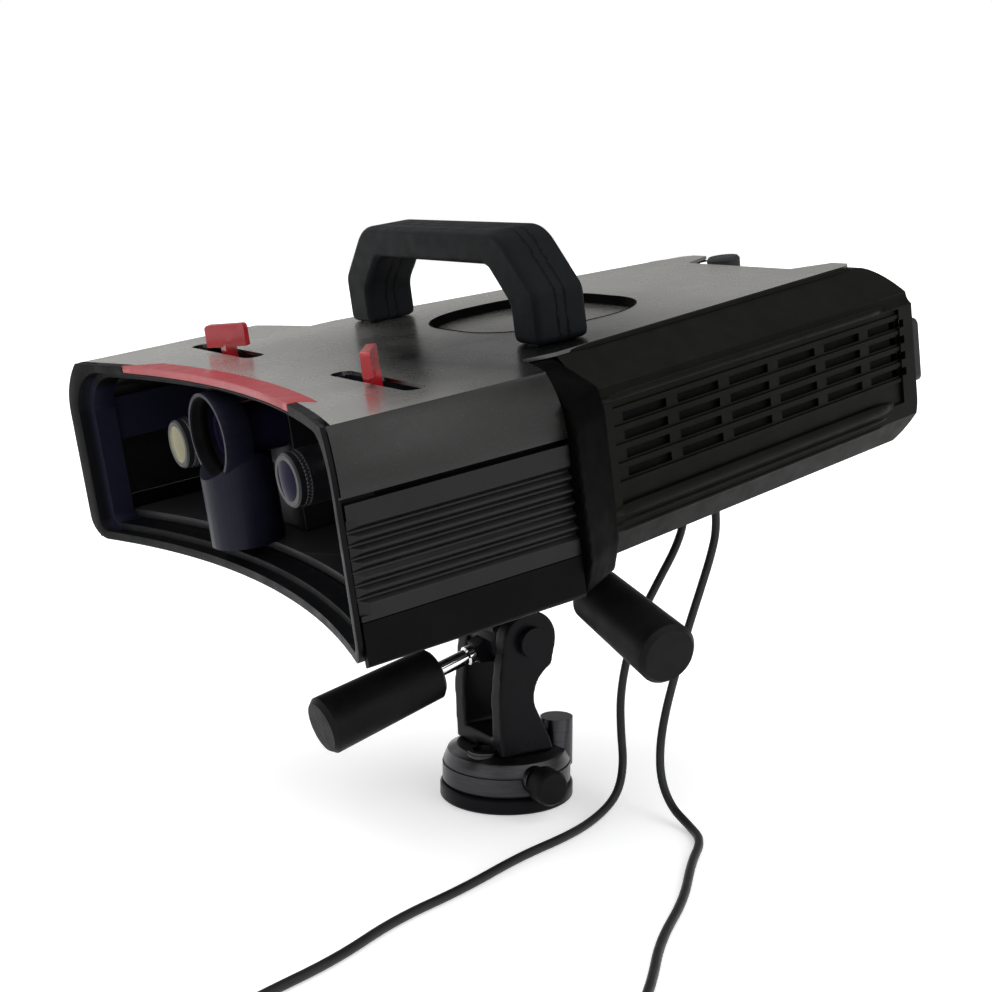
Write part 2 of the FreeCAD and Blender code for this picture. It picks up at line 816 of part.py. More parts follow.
def makeRearPanel():
    inset = 11
    tail = shellHalfFront - d.shellTaper - d.skin - 0.6
    right = [
        (tail - d.bevelWidth + 5, 97),
        (tail, d.beltTop - 4),
        (tail, d.beltFoot + 3),
        (tail - 8, 10.5),
    ]
    outline = right + [(-x, z) for x, z in reversed(right)]
    slots = []
    for number in range(9):
        x = (number - 4) * 8.4
        half = 28 - 1.2 * abs(number - 4)
        slots.append(
            roundedRectangle(x - 2.6, x + 2.6, d.fanHeight - half, d.fanHeight + half, 2.5)
        )
    back = prism("front", [outline] + slots, shellEnd - inset, 4)
    ledge = block(-68, 68, shellEnd - 44, shellEnd - inset + 2, 95, 98)
    bend = shellEnd - d.shellRoundFoot
    rise = d.shellRoundFoot + 0.9
    reach = shellHalfFront - 87.5
    ring = cut(
        rod("x", -150, bend, rise, d.shellRoundFoot - 0.2, 300),
        rod("x", -160, bend, rise, d.shellRoundFoot - 1.8, 320),
    )
    skirt = common(ring, block(-reach, reach, bend + 0.3, shellEnd - 8, 0, 15))
    button = rod("z", -34, buttonBack, 80, 11, 60)
    keep(cut(fuse(back, skirt, ledge), button), "rear_panel", scannerPlace)


def makePowerButton():
    cap = [(0, 0), (12.5, 0), (12.5, 1.6), (10.6, 1.6), (10.6, 16.4), (9.2, 18), (0, 18)]
    place = Placement(Vector(-34, buttonBack.value, 93.1), Rotation())
    keep(turned(cap), "power_button", scannerPlace.multiply(place))


def makeRearBumpers():
    y0 = shellEnd - 6
    blocks = []
    for sign in (1, -1):
        out = shellHalfFront - d.shellTaper - d.skin - 1.2
        low, high = (out - 18, out) if sign > 0 else (-out, 18 - out)
        blocks.append(prism("front", [roundedRectangle(low, high, 35, 73, 4)], y0, 15))
    keep(group(*blocks), "rear_bumpers", scannerPlace)


# Carry handle
def handleLoop(shrink):
    """Outer outline of the handle seen from the front, without its underside."""
    foot = d.rearTop + d.plateThick + 0.3
    half = d.gripHalf - shrink
    top = d.gripTop - shrink
    right = [
        (half, foot),
        (half, d.gripCrease - 4, -0.7),
        (half - 3, d.gripCrease + 5),
        (d.gripTopHalf + 10 - shrink * 0.5, top - 8, -2.5),
        (d.gripTopHalf - 7 - shrink * 0.5, top),
    ]
    left = [
        (-d.gripTopHalf + 7 + shrink * 0.5, top, -2.5),
        (-d.gripTopHalf - 10 + shrink * 0.5, top - 8),
        (-half + 3, d.gripCrease + 5, -0.7),
        (-half, d.gripCrease - 4),
        (-half, foot),
    ]
    return right + left


def handleHole(grow):
    """The finger opening's outline, from the left foot round to the right one."""
    foot = d.rearTop + d.plateThick + 0.3
    half = d.gripHalf - d.gripLeg + grow
    top = d.gripTop - d.gripBar + grow
    return [
        (-half, foot),
        (-half, d.gripCrease - 6),
        (-half + 17, top),
        (half - 17, top),
        (half, d.gripCrease - 6),
        (half, foot),
    ]


def makeCarryHandle():
    wall = (d.gripLeg - d.gripCore) / 2
    bolts = [
        rod("z", sign * (d.gripHalf - d.gripLeg / 2), y, d.rearTop, 2.55, 26)
        for sign in (1, -1)
        for y in handleBoltRows()
    ]
    strap = handleLoop(wall - 2) + handleHole(wall - 2)
    core = prism("front", [strap], d.gripFront + 4, d.gripWide - 8)
    keep(cut(core, *bolts), "handle_core", scannerPlace)
    body = prism("front", [handleLoop(0) + handleHole(0)], d.gripFront, d.gripWide)
    hollow = prism(
        "front",
        [handleLoop(wall - 2.05) + handleHole(wall - 2.05)],
        d.gripFront + 3.95,
        d.gripWide - 7.9,
    )
    keep(cut(body, hollow), "handle_cover", scannerPlace)
    screws = []
    for sign in (1, -1):
        for y in handleBoltRows():
            x = sign * (d.gripHalf - d.gripLeg / 2)
            screws.append(
                fuse(
                    rod("z", x, y, d.rearTop - 3.2, 2.5, 24),
                    rod("z", x, y, d.rearTop - 6, 4.2, 3),
                )
            )
    keep(group(*screws), "handle_bolts", scannerPlace)


# Levers and cameras
leverTurn = 36


def makeLever(side, sign):
    out = d.leverOut * sign
    railZ = plateFloor - 10
    top = d.headHeight
    rail = rod("x", out - 20, d.slotBack, railZ, d.railRadius + d.runningGap, 40)
    carriage = cut(block(out - 12, out + 12, d.slotBack - 7, d.slotBack + 7, railZ - 6, railZ + 6), rail)
    half = d.leverStem / 2
    stem = block(out - half, out + half, d.slotBack - half, d.slotBack + half, railZ + 5, top + 5)
    wide = d.leverWide / 2
    outline = [
        (-wide, top + 3),
        (wide, top + 3),
        (wide, top + d.leverRise - 3, -1.2),
        (wide - 3, top + d.leverRise),
        (-wide + 3, top + d.leverRise, -1.2),
        (-wide, top + d.leverRise - 3),
    ]
    flag = prism("front", [outline], -d.leverThick / 2, d.leverThick)
    flag.Placement = Placement()
    turn = Rotation(Vector(0, 0, 1), -leverTurn * sign)
    flag.Placement = Placement(Vector(out.value, d.slotBack.value, 0), turn)
    bind(flag, "Placement.Base.x", out)
    bind(flag, "Placement.Base.y", d.slotBack)
    keep(fuse(carriage, stem, flag), f"{side}_lever", scannerPlace)


def makeLeverRails():
    rails = []
    railZ = plateFloor - 10
    for _, sign in sides:
        x0 = d.slotCentre * sign - 49
        bar = rod("x", x0, d.slotBack, railZ, d.railRadius, 98)
        ends = [
            block(x, x + 5, d.slotBack - 6, d.slotBack + 6, railZ - 7, plateFloor - 0.1)
            for x in (x0 - 2, x0 + 95)
        ]
        rails.append(fuse(bar, *ends))
    keep(group(*rails), "lever_rails", scannerPlace)


barrelBack = d.eyeFront + d.barrelLength
pivotBack = barrelBack + d.bodyDeep / 2


def eyePlace(sign):
    """A turned part's Z axis laid along the camera's axis, from the lens backwards."""
    spot = Vector(sign * d.eyeOut.value, d.eyeFront.value, d.eyeHeight.value)
    return scannerPlace.multiply(Placement(spot, Rotation(Vector(1, 0, 0), -90)))


def makeCamera(side, sign):
    ring = d.eyeRadius
    barrel = d.barrelRadius
    length = d.barrelLength
    lens = [
        (0, 2.5),
        (9, 1.6),
        (9.5, 0),
        (ring - 1, 0),
        (ring, 1),
        (ring, 5),
        (barrel, 5),
        (barrel, length),
        (0, length),
    ]
    keep(turned(lens), f"{side}_lens_barrel", eyePlace(sign))
    bore = barrel + d.runningGap
    focus = [
        (bore, 6),
        (ring, 6),
        (ring + 0.6, 7),
        (ring + 0.6, 5 + d.eyeLength),
        (ring, 6 + d.eyeLength),
        (bore, 6 + d.eyeLength),
    ]
    keep(turned(focus), f"{side}_focus_ring", eyePlace(sign))
    out = d.eyeOut * sign
    half = d.bodyWide / 2
    z0 = d.eyeHeight - half
    z1 = d.eyeHeight + half
    case = block(out - half, out + half, barrelBack + 0.05, barrelBack + d.bodyDeep, z0, z1)
    keep(group(case), f"{side}_camera_body", scannerPlace)
    disc = rod("z", out, pivotBack, d.benchTop + 0.3, 17, 4)
    post = block(out - 10, out + 10, pivotBack - 10, pivotBack + 10, d.benchTop + 3, z0 - 4.05)
    shelf = block(out - half, out + half, pivotBack - 15, pivotBack + 15, z0 - 4.1, z0 - 0.05)
    pin = rod("z", out, pivotBack, d.benchTop - d.benchThick + 0.5, 4, 8)
    keep(fuse(disc, post, shelf, pin), f"{side}_camera_bracket", scannerPlace)


def makeOpticalBench():
    side = halfHead - d.skin - 6
    start = frontLine(side) + d.lipDepth + 1
    outline = [
        (-side, start, d.windowSag - frontLine(side)),
        (side, start),
        (side, d.headDepth - 3),
        (-side, d.headDepth - 3),
    ]
    pins = [("circle", sign * d.eyeOut, pivotBack, 4 + d.runningGap) for sign in (1, -1)]
    bench = prism("plan", [outline] + pins, d.benchTop - d.benchThick, d.benchThick)
    base = d.chassisLift + d.chassisThick
    posts = [
        rod("z", x, y, base + 0.05, 6, d.benchTop - d.benchThick - base)
        for x in (-140, -90, 90, 140)
        for y in (65, d.headDepth - 14)
    ]
    keep(fuse(bench, *posts), "optical_bench", scannerPlace)


def makeInnerBaffle():
    side = halfHead - d.skin - 14
    wall = rectangle(-side, side, d.benchTop + 0.1, plateFloor - 4)
    keep(prism("front", [wall], d.baffleFace, 2), "inner_baffle", scannerPlace)


# Projector
def makeProjector():
    x = -d.hoodOut
    y0 = d.hoodFront
    z = d.hoodHeight
    tube = rod("y", x, y0, z, d.hoodRadius, d.hoodLength)
    stand = rod("z", x, y0 + 14, d.benchTop + 0.1, d.hoodStand, z - d.benchTop)
    bore = rod("y", x, y0 - 20, z, d.hoodRadius - d.hoodWall, 75)
    keep(cut(fuse(tube, stand), bore), "projector_shroud", scannerPlace)
    lensRadius = 15
    lens = [
        (0, 3),
        (10.5, 1.5),
        (11, 0),
        (lensRadius - 1, 0),
        (lensRadius, 1),
        (lensRadius, 32),
        (0, 32),
    ]
    spot = Vector(x.value, y0.value + 10, z.value)
    place = scannerPlace.multiply(Placement(spot, Rotation(Vector(1, 0, 0), -90)))
    keep(turned(lens), "projector_lens", place)
    engine = block(x - 16, x + 16, y0 + 42.1, d.baffleFace - 0.2, d.benchTop + 0.1, z + 12)
    keep(group(engine), "projector_body", scannerPlace)


# Electronics in the rear body
def makeControlBoard():
    base = d.chassisLift + d.chassisThick
    level = 18
    parts = [block(-62, 62, 230, 370, level, level + 1.6)]
    for x in (-56, 56):
        for y in (236, 364):
            parts.append(rod("z", x, y, base + 0.05, 3, level - base))
    for x0, x1, y0, y1, tall in (
        (-20, 20, 280, 320, 12),
        (-50, -34, 250, 300, 9),
        (34, 52, 250, 274, 16),
        (34, 52, 300, 330, 6),
        (-52, -30, 330, 352, 7),
    ):
        parts.append(block(x0, x1, y0, y1, level + 1.5, level + 1.6 + tall))
    keep(fuse(*parts), "control_board", scannerPlace)


def makeFan():
    half = d.fanSize / 2
    y0 = shellEnd - d.fanDepth - 11.3
    z = d.fanHeight
    outline = roundedRectangle(-half, half, z - half, z + half, 4)
    frame = prism("front", [outline, ("circle", 0, z, half - 2)], y0, d.fanDepth)
    hub = rod("y", 0, y0, z, 15, 4)
    pin = rod("y", 0, y0, z, 2, 20)
    spokes = []
    for number in range(3):
        spoke = block(-1.5, 1.5, y0, y0 + 3, 0, half - 1)
        turn = Rotation(Vector(0, 1, 0), 120 * number)
        place = Placement(Vector(0, 0, z.value), Rotation()).multiply(Placement(Vector(), turn))
        spoke.Placement = place.multiply(Placement(Vector(-1.5, y0.value, 0), Rotation()))
        for axis in "xyz":
            spoke.setExpression(f"Placement.Base.{axis}", None)
        spokes.append(spoke)
    feet = [
        block(x0, x0 + 8, y0 + 4, y0 + 16, d.chassisLift + d.chassisThick + 0.05, z - half + 1)
        for x0 in (-half, half - 8)
    ]
    keep(fuse(frame, hub, pin, *spokes, *feet), "fan_frame", scannerPlace)
    wheel = cut(rod("y", 0, y0 + 4.5, z, 14.5, 17), rod("y", 0, y0, z, 2 + d.runningGap, 30))
    blades = []
    for number in range(7):
        blade = doc.addObject("Part::Box", "Blade")
        bind(blade, "Length", 1.6)
        bind(blade, "Width", 15)
        bind(blade, "Height", half - 2 - 1.2 - 13.5)
        spin = Placement(Vector(), Rotation(Vector(0, 1, 0), number * 360 / 7))
        lean = Placement(Vector(0, 0, 13.5), Rotation(Vector(0, 0, 1), 38))
        centre = Placement(Vector(0, y0.value + 13, z.value), Rotation())
        corner = Placement(Vector(-0.8, -7.5, 0), Rotation())
        blade.Placement = centre.multiply(spin).multiply(lean).multiply(corner)
        blades.append(blade)
    keep(fuse(wheel, *blades), "fan_rotor", scannerPlace)


# Fixing between scanner and head
plateGap = 0.3
adaptorThick = 8


def makeMountingPlate():
    y0 = shellStart + 1
    top = d.chassisLift - 0.05
    outline = roundedRectangle(-34, 34, y0, y0 + 56, 6)
    base = prism("plan", [outline, ("circle", 0, d.mountBack, 5)], -adaptorThick, top + adaptorThick)
    bolt = fuse(
        rod("z", 0, d.mountBack, -adaptorThick - 8, 4.76, 8 + adaptorThick + top + 3),
        rod("z", 0, d.mountBack, d.chassisLift + d.chassisThick + 0.05, 8, 5),
    )
    keep(group(base, bolt), "mounting_plate", scannerPlace)


# Tripod head. Base and pan
def makeBasePlate():
    foot = d.baseRadius
    shaft = d.shaftRadius
    top = d.panTop - 1.5
    loop = [
        (d.threadRadius, 0),
        (foot - 1, 0),
        (foot, 1),
        (foot, d.basePlate - 1),
        (foot - 1, d.basePlate),
        (shaft, d.basePlate),
        (shaft, top),
        (0, top),
        (0, d.threadDepth),
        (d.threadRadius, d.threadDepth),
    ]
    keep(turned(loop), "base_plate", levelPlace)


panBoss = (13, 27.4)
panBossRadius = 9.8


def makePanHousing():
    bore = d.shaftRadius + d.runningGap
    foot = d.basePlate + 0.4
    outer = d.panRadius
    loop = [
        (bore, foot),
        (outer - 0.5, foot),
        (outer - 0.5, d.basePlate + 12.1),
        (outer, d.basePlate + 12.1),
        (outer, d.panTop - 9),
        (outer - 2.5, d.panTop - 3),
        (outer - 8, d.panTop),
        (0, d.panTop),
        (0, d.panTop - 1.2),
        (bore, d.panTop - 1.2),
    ]
    shell = turned(loop)
    boss = rod("z", *panBoss, d.panTop - 14, panBossRadius, 29)
    drum = rod("z", 9, -21, d.panTop - 12, 10.5, 12)
    ear = rod("x", d.panRadius - 8, -4, 20, 8, 10)
    keep(fuse(shell, boss, drum, ear), "pan_housing", levelPlace)


def makePanLock():
    knob = [
        (0, 0),
        (6.5, 0),
        (6.5, 4),
        (9.5, 4),
        (10.5, 5),
        (10.5, 15),
        (9, 17),
        (0, 17),
    ]
    spot = Vector(d.panRadius.value + 2.3, -4, 20)
    place = Placement(spot, Rotation(Vector(0, 1, 0), 90))
    keep(turned(knob), "pan_lock_knob", place)


def makeIndexRing():
    ring = cut(rod("z", 9, -21, d.panTop + 0.05, 10, 1.6), rod("z", 9, -21, d.panTop - 3, 7, 9))
    out = d.panRadius
    inner = rod("z", 0, 0, 0, out - 0.4, 40)
    boss = rod("z", *panBoss, 0, panBossRadius + 0.4, 40)
    ear = rod("x", 0, -4, 20, 8.4, 60)
    band = cut(rod("z", 0, 0, d.basePlate + 2, out + 0.6, 10), inner, boss, ear)
    keep(group(ring, band), "index_ring", levelPlace)


yokeGap = 0.3


def makeYoke():
    side = [
        (-19, d.panTop + 0.05),
        (17, d.panTop + 0.05),
        (14, d.panTop + 8),
        (4, 60, 5),
        (d.knuckle - 3, 84),
        (d.knuckle, d.tiltHeight),
        (-d.knuckle, d.tiltHeight),
        (-d.knuckle - 3, 66),
        (-20, 46),
    ]
    half = d.blockWide / 2 + yokeGap + d.cheekThick
    web = prism("side", [side], -half, 2 * half)
    crown = rod("x", -half, 0, d.tiltHeight, d.knuckle, 2 * half)
    slot = d.blockWide / 2 + yokeGap
    gap = block(-slot, slot, -40, 40, d.panTop + 10, d.tiltHeight + 40)
    bore = rod("x", -60, 0, d.tiltHeight, d.tiltPin + d.runningGap, 120)
    ring = rod("z", 9, -21, d.panTop - 3, 11.4, 6)
    keep(cut(fuse(web, crown), gap, bore, ring), "yoke_casting", levelPlace)


# Tripod head. Tilt block, front handle and side-tilt platform, drawn about the tilt axis
def makeTiltBlock():
    half = d.blockWide / 2
    barrel = d.rollPin + 7
    reach = 16
    knuckle = rod("x", -half, 0, 0, d.knuckle - 0.5, d.blockWide)
    web = block(-half + 3, half - 3, -reach, reach, 0, d.rollHeight)
    drum = rod("y", 0, -reach, d.rollHeight, barrel, 2 * reach)
    lug = prism("side", [[(-24, -11), (-12, -13), (-10, 4), (-24, 0)]], -6, 12)
    pin = rod("x", -40, 0, 0, d.tiltPin + 0.02, 80)
    hole = rod("y", 0, -40, d.rollHeight, d.rollPin + d.runningGap, 80)
    keep(cut(fuse(knuckle, web, drum, lug), pin, hole), "tilt_block", tiltPlace)


def makeTiltPin():
    half = d.blockWide / 2 + yokeGap + d.cheekThick
    head = half + 0.3
    shaft = rod("x", -head - 2, 0, 0, d.tiltPin, 2 * head + 4)
    heads = [rod("x", x, 0, 0, 9, 4.5) for x in (-head - 4.5, head)]
    keep(fuse(shaft, *heads), "tilt_pin", tiltPlace)


def handlePlace(start, sweep, droop):
    """Z of a turned handle part laid along the handle: sweep from +X towards -Y, then down."""
    swing = Rotation(Vector(0, 0, 1), -sweep)
    lower = Rotation(Vector(0, 1, 0), 90 + droop)
    return tiltPlace.multiply(Placement(start, swing.multiply(lower)))


def rodLoop(length):
    thick = d.rodRadius
    return [
        (0, -1),
        (thick + 1.2, 0),
        (thick + 1.2, 4),
        (thick, 5),
        (thick, length + 30),
        (0, length + 30),
    ]


def gripLoop(length):
    small = d.barGripSmall
    large = d.barGripLarge
    end = length + d.barGripLength
    bore = d.rodRadius + d.runningGap
    return [
        (bore, length),
        (small - 2, length),
        (small, length + 2),
        (large, end - 3),
        (large - 2.5, end),
        (0, end),
        (0, length + 31),
        (bore, length + 31),
    ]


def makeHandle(rodName, gripName, start, sweep, droop, length):
    place = handlePlace(start, sweep, droop)
    keep(turned(rodLoop(length)), rodName, place)
    keep(turned(gripLoop(length)), gripName, place)


sideStart = Vector(31, 16, 50.5)
frontStart = Vector(0, -25.3, -6)


def makePlatform():
    reach = 16.3
    ear = 10
    top = d.mountHeight - adaptorThick - plateGap
    shelf = top - 10
    bodies = []
    for y in (-reach - ear, reach):
        bodies.append(rod("y", 0, y, d.rollHeight, d.rollPin + 6, ear))
        bodies.append(block(-13, 13, y, y + ear, d.rollHeight, shelf + 1))
    boss = block(12.5, 29.5, 8, 24, 43, shelf + 1)
    bore = rod("y", 0, -40, d.rollHeight, d.rollPin - 0.1, 80)
    deck = cut(rod("z", 0, 0, shelf, d.platform, 10), rod("z", 0, 0, shelf - 1, 4.86, 12))
    bodies.append(deck)
    pin = fuse(
        rod("y", 0, -reach - ear - 1, d.rollHeight, d.rollPin, 2 * (reach + ear + 1)),
        rod("y", 0, -reach - ear - 4, d.rollHeight, d.rollPin + 3, 3.9),
    )
    keep(fuse(cut(fuse(boss, *bodies), bore), pin), "platform", tiltPlace)


# Cords
cordGrade = 5.6
tailRun = 20


def tangentPath(points, name):
    """Straight runs joined by tangent arcs, each as large as its two runs allow."""
    edges = []
    start = points[0]
    radii = []
    for before, corner, after in zip(points, points[1:], points[2:]):
        back = before - corner
        ahead = after - corner
        turn = math.pi - back.getAngle(ahead)
        tangent = 0.45 * min(back.Length, ahead.Length)
        radii.append(tangent / math.tan(turn / 2))
        first = corner + back.normalize() * tangent
        last = corner + ahead.normalize() * tangent
        bisector = (back + ahead).normalize()
        reach = tangent / math.cos((math.pi - turn) / 2)
        radius = radii[-1]
        centre = corner + bisector * math.hypot(radius, tangent)
        middle = centre - bisector * radius
        edges.append(Part.LineSegment(start, first).toShape())
        edges.append(Part.Arc(first, middle, last).toShape())
        start = last
    edges.append(Part.LineSegment(start, points[-1]).toShape())
    print(name, "bend radii", [round(radius) for radius in radii])
    return edges


def tube(edges, radius, name):
    """A round tube along joined edges, its volume compared with section times length."""
    wire = Part.Wire(edges)
    start = edges[0].valueAt(edges[0].FirstParameter)
    along = edges[0].tangentAt(edges[0].FirstParameter)
    ring = Part.Wire(Part.Circle(start, along, radius).toShape())
    solid = wire.makePipeShell([ring], True, False)
    share = solid.Volume / (math.pi * radius**2 * wire.Length)
    print(name, "length", round(wire.Length), "volume against section times length", round(share, 4))
    return solid


def biarc(start, leave, stop, arrive):
    """Two tangent arcs from start to stop."""
    span = stop - start
    bend = 2 * (1 - leave.dot(arrive))
    pull = 2 * span.dot(leave + arrive)
    if bend < 1e-9:
        reach = span.dot(span) / pull
    else:
        reach = (-pull + math.sqrt(pull * pull + 4 * bend * span.dot(span))) / (2 * bend)
    joint = (start + leave * reach + stop - arrive * reach) * 0.5
    edges = []
    for first, knee, last in (
        (start, start + leave * reach, joint),
        (joint, stop - arrive * reach, stop),
    ):
        middle = (first + last) * 0.5
        half = (last - first).Length / 2
        lean = math.acos(min(1, half / reach))
        if lean < 1e-6:
            edges.append(Part.LineSegment(first, last).toShape())
            continue
        crown = middle + (knee - middle).normalize() * half * math.tan(lean / 2)
        edges.append(Part.Arc(first, crown, last).toShape())
    return edges


def coilPoint(coil, turns, lift, at):
    """A point of the coil at a count of turns: in along the floor, up a layer, and out again."""
    if at <= turns:
        radius = d.coilInner.value + d.coilPitch.value * (turns - at)
        height = 0
    elif at <= turns + 0.5:
        radius = d.coilInner.value
        height = lift * (0.5 - 0.5 * math.cos(math.pi * (at - turns) / 0.5))
    else:
        radius = d.coilInner.value + d.coilPitch.value * (at - turns - 0.5)
        height = lift
    angle = math.radians(coil["heading"]) + coil["hand"] * 2 * math.pi * at
    level = d.cordRadius.value + 0.05
    reach = Vector(radius * math.cos(angle), radius * math.sin(angle), level + height)
    return Vector(*coil["centre"], 0) + reach


def coilTangent(coil, turns, lift, at, last):
    step = 0.004
    before = coilPoint(coil, turns, lift, max(at - step, 0))
    after = coilPoint(coil, turns, lift, min(at + step, last))
    return (after - before).normalize()


def coilEdges(coil, name):
    """Quarter-turn biarcs with a short straight lead at both ends."""
    turns = int(d.coilTurns.value)
    lift = cordGrade
    last = 2 * turns + coil["more"]
    count = int(last * 4)
    stops = [last * number / count for number in range(count + 1)]
    points = [coilPoint(coil, turns, lift, at) for at in stops]
    tangents = [coilTangent(coil, turns, lift, at, last) for at in stops]
    lead = 2 * d.cordRadius.value
    edges = [Part.LineSegment(points[0] - tangents[0] * lead, points[0]).toShape()]
    for start, leave, stop, arrive in zip(points, tangents, points[1:], tangents[1:]):
        edges += biarc(start, leave, stop, arrive)
    tail = points[-1] + tangents[-1] * tailRun
    edges.append(Part.LineSegment(points[-1], tail).toShape())
    reportGap(edges, name)
    return edges, points[0] - tangents[0] * lead, tail, tangents[-1]


def reportGap(edges, name):
    """Print the least gap between a coil's turns, measured on points along it."""
    samples = []
    travelled = 0
    for edge in edges:
        steps = max(2, int(edge.Length / 2))
        for number in range(steps):
            share = edge.FirstParameter + (edge.LastParameter - edge.FirstParameter) * number / steps
            samples.append((travelled + edge.Length * number / steps, edge.valueAt(share)))
        travelled += edge.Length
    least = min(
        (one - other).Length
        for index, (place, one) in enumerate(samples)
        for later, other in samples[index + 1 :]
        if later - place > 60
    )
    print(name, "least gap between turns", round(least - 2 * d.cordRadius.value, 2))


def makeFeature(shape, label, place):
    thing = doc.addObject("Part::Feature", "Shape")
    thing.Shape = shape
    keep(thing, label, place)


def glandEnd(x, y):
    """Where a cord leaves its gland."""
    return scannerPlace.multVec(Vector(x, y, -glandDrop))


glandDrop = 12
dataGland = (70, 290)
powerGland = (40, 290)


def makeGlands():
    glands = []
    for x, y in (dataGland, powerGland):
        base = rod("z", x, y, -4, d.glandRadius, 4 + d.chassisLift - 0.05)
        sleeve = rod("z", x, y, -glandDrop, d.cordRadius + 1.3, glandDrop - 3.5)
        glands.append(fuse(base, sleeve))
    keep(group(*glands), "cord_glands", scannerPlace)


def makePlug(label, end, along, length, wide, tall, tongue):
    """A plug lying on the floor, its strain relief towards the cord."""
    turn = Rotation(Vector(1, 0, 0), along)
    place = Placement(end, turn)
    taper = 12
    thin = d.cordRadius.value + 0.6
    relief = Part.makeCone(thin, thin + 1.6, taper, Vector(), Vector(1, 0, 0))
    grip = Part.makeBox(length, wide, tall, Vector(taper, -wide / 2, -tall / 2))
    out, across, high = tongue
    nose = Part.makeBox(out, across, high, Vector(taper + length, -across / 2, -high / 2))
    solid = relief.fuse([grip, nose])
    makeFeature(solid, label, place)


def makeCord(kind, gland, hanging, laid, plug):
    """One cord: a free stretch from the gland to the floor, a coil and a plug."""
    start = glandEnd(*gland)
    coil, coilStart, coilEnd, leave = coilEdges(laid, f"{kind} coil")
    points = [start] + [Vector(*point) for point in hanging] + [coilStart]
    stretch = tangentPath(points, f"{kind} cord")
    makeFeature(tube(stretch, d.cordRadius.value, f"{kind} cord"), f"{kind}_cord", levelPlace)
    makeFeature(tube(coil, d.cordRadius.value, f"{kind} coil"), f"{kind}_coil", levelPlace)
    makePlug(f"{kind}_plug", coilEnd, leave, *plug)


dataRoute = [
    (70, 101.3, 165),
    (70, 97.5, 149),
    (70, 90, 129),
    (70, 81, 106),
    (70, 73, 82),
    (70.3, 65.5, 59),
    (72.5, 60, 39),
    (79, 56, 21.5),
    (91, 54.8, 8.5),
    (108, 54.8, 2.55),
    (129, 47, 2.55),
    (151, 22, 2.55),
    (188, -12, 2.55),
    (220, -52, 2.55),
    (258, -86, 2.55),
    (296.55, -130.5, 2.55),
]
# A coil's centre, the angle of its first point, the hand it turns in and its turns past the last
dataCoil = {"centre": (275.1, -186.2), "heading": 20, "hand": -1, "more": 0}

powerRoute = [
    (40, 101.3, 165),
    (40, 95, 148),
    (40, 82, 129),
    (40, 69, 109),
    (40, 59.5, 86),
    (40.5, 54.5, 63),
    (43.5, 53, 42),
    (51, 50, 23.5),
    (60, 39.5, 10),
    (66.8, 22, 2.55),
    (83, -9, 2.55),
    (95, -52, 2.55),
    (116, -100, 2.55),
    (131, -149, 2.55),
    (155, -193, 2.55),
    (170.3, -238.9, 2.55),
]
powerCoil = {"centre": (225.2, -265.9), "heading": 204, "hand": 1, "more": 0.25}


def buildAll():
    makeBasePlate()
    makePanHousing()
    makePanLock()
    makeIndexRing()
    makeYoke()
    makeTiltBlock()
    makeTiltPin()
    makeHandle("tilt_rod", "tilt_grip", frontStart, 90, d.frontDroop.value, d.rodLength.value)
    makePlatform()
    side = d.sideRodLength.value
    makeHandle("side_rod", "side_grip", sideStart, d.sideSweep.value, d.sideDroop.value, side)
    makeMountingPlate()
    makeChassisPlate()
    makeFrontBezel()
    makeRedTrim()
    makeFrontTopPlate()
    makeCollarFrame()
    makeRearTopPlate()
    makeRearPanel()
    makeRearBumpers()
    makePowerButton()
    makeCarryHandle()
    makeOpticalBench()
    makeInnerBaffle()
    makeProjector()
    makeLeverRails()
    for side, sign in sides:
        makeShoulderPanel(side, sign)
        makeRibPanel(side, sign)
        makeLowerPanel(side, sign)
        makeRearShell(side, sign)
        makeLever(side, sign)
        makeCamera(side, sign)
    makeControlBoard()
    makeFan()
    makeGlands()
    makeCord("data", dataGland, dataRoute, dataCoil, (22, 16, 15, (10, 12, 7)))
    makeCord("power", powerGland, powerRoute, powerCoil, (30, 17, 15.6, (8, 9, 9)))


def checkAndExport():
    doc.recompute()
    faults = [thing.Label for thing in doc.Objects if {"Invalid", "Error"} & set(thing.State)]
    for thing in pieces:
        shape = thing.Shape
        if shape.isNull() or not shape.isValid() or not shape.Solids:
            faults.append(f"{thing.Label} has no valid solid")
    if faults:
        raise RuntimeError(", ".join(faults))
    os.makedirs("parts", exist_ok=True)
    for thing in pieces:
        thing.Shape.exportStep(f"parts/{thing.Label}.step")
    print(len(pieces), "pieces written")


buildAll()
checkAndExport()
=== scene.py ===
import math
import bpy
import bmesh
from mathutils import Matrix, Vector


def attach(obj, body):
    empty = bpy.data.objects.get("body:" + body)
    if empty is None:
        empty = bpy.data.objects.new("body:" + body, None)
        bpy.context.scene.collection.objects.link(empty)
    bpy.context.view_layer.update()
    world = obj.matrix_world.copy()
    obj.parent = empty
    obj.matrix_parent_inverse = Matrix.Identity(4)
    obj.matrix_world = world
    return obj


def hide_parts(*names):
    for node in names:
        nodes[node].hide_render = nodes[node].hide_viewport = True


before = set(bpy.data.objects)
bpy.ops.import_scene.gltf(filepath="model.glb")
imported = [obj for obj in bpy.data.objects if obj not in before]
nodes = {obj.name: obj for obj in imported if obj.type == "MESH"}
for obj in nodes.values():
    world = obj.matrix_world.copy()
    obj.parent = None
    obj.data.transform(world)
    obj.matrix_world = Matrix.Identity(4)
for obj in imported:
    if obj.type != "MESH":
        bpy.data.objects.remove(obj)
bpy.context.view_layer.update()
sides = (("right", 1), ("left", -1))
scene = bpy.context.scene
print("stage: frame loaded")

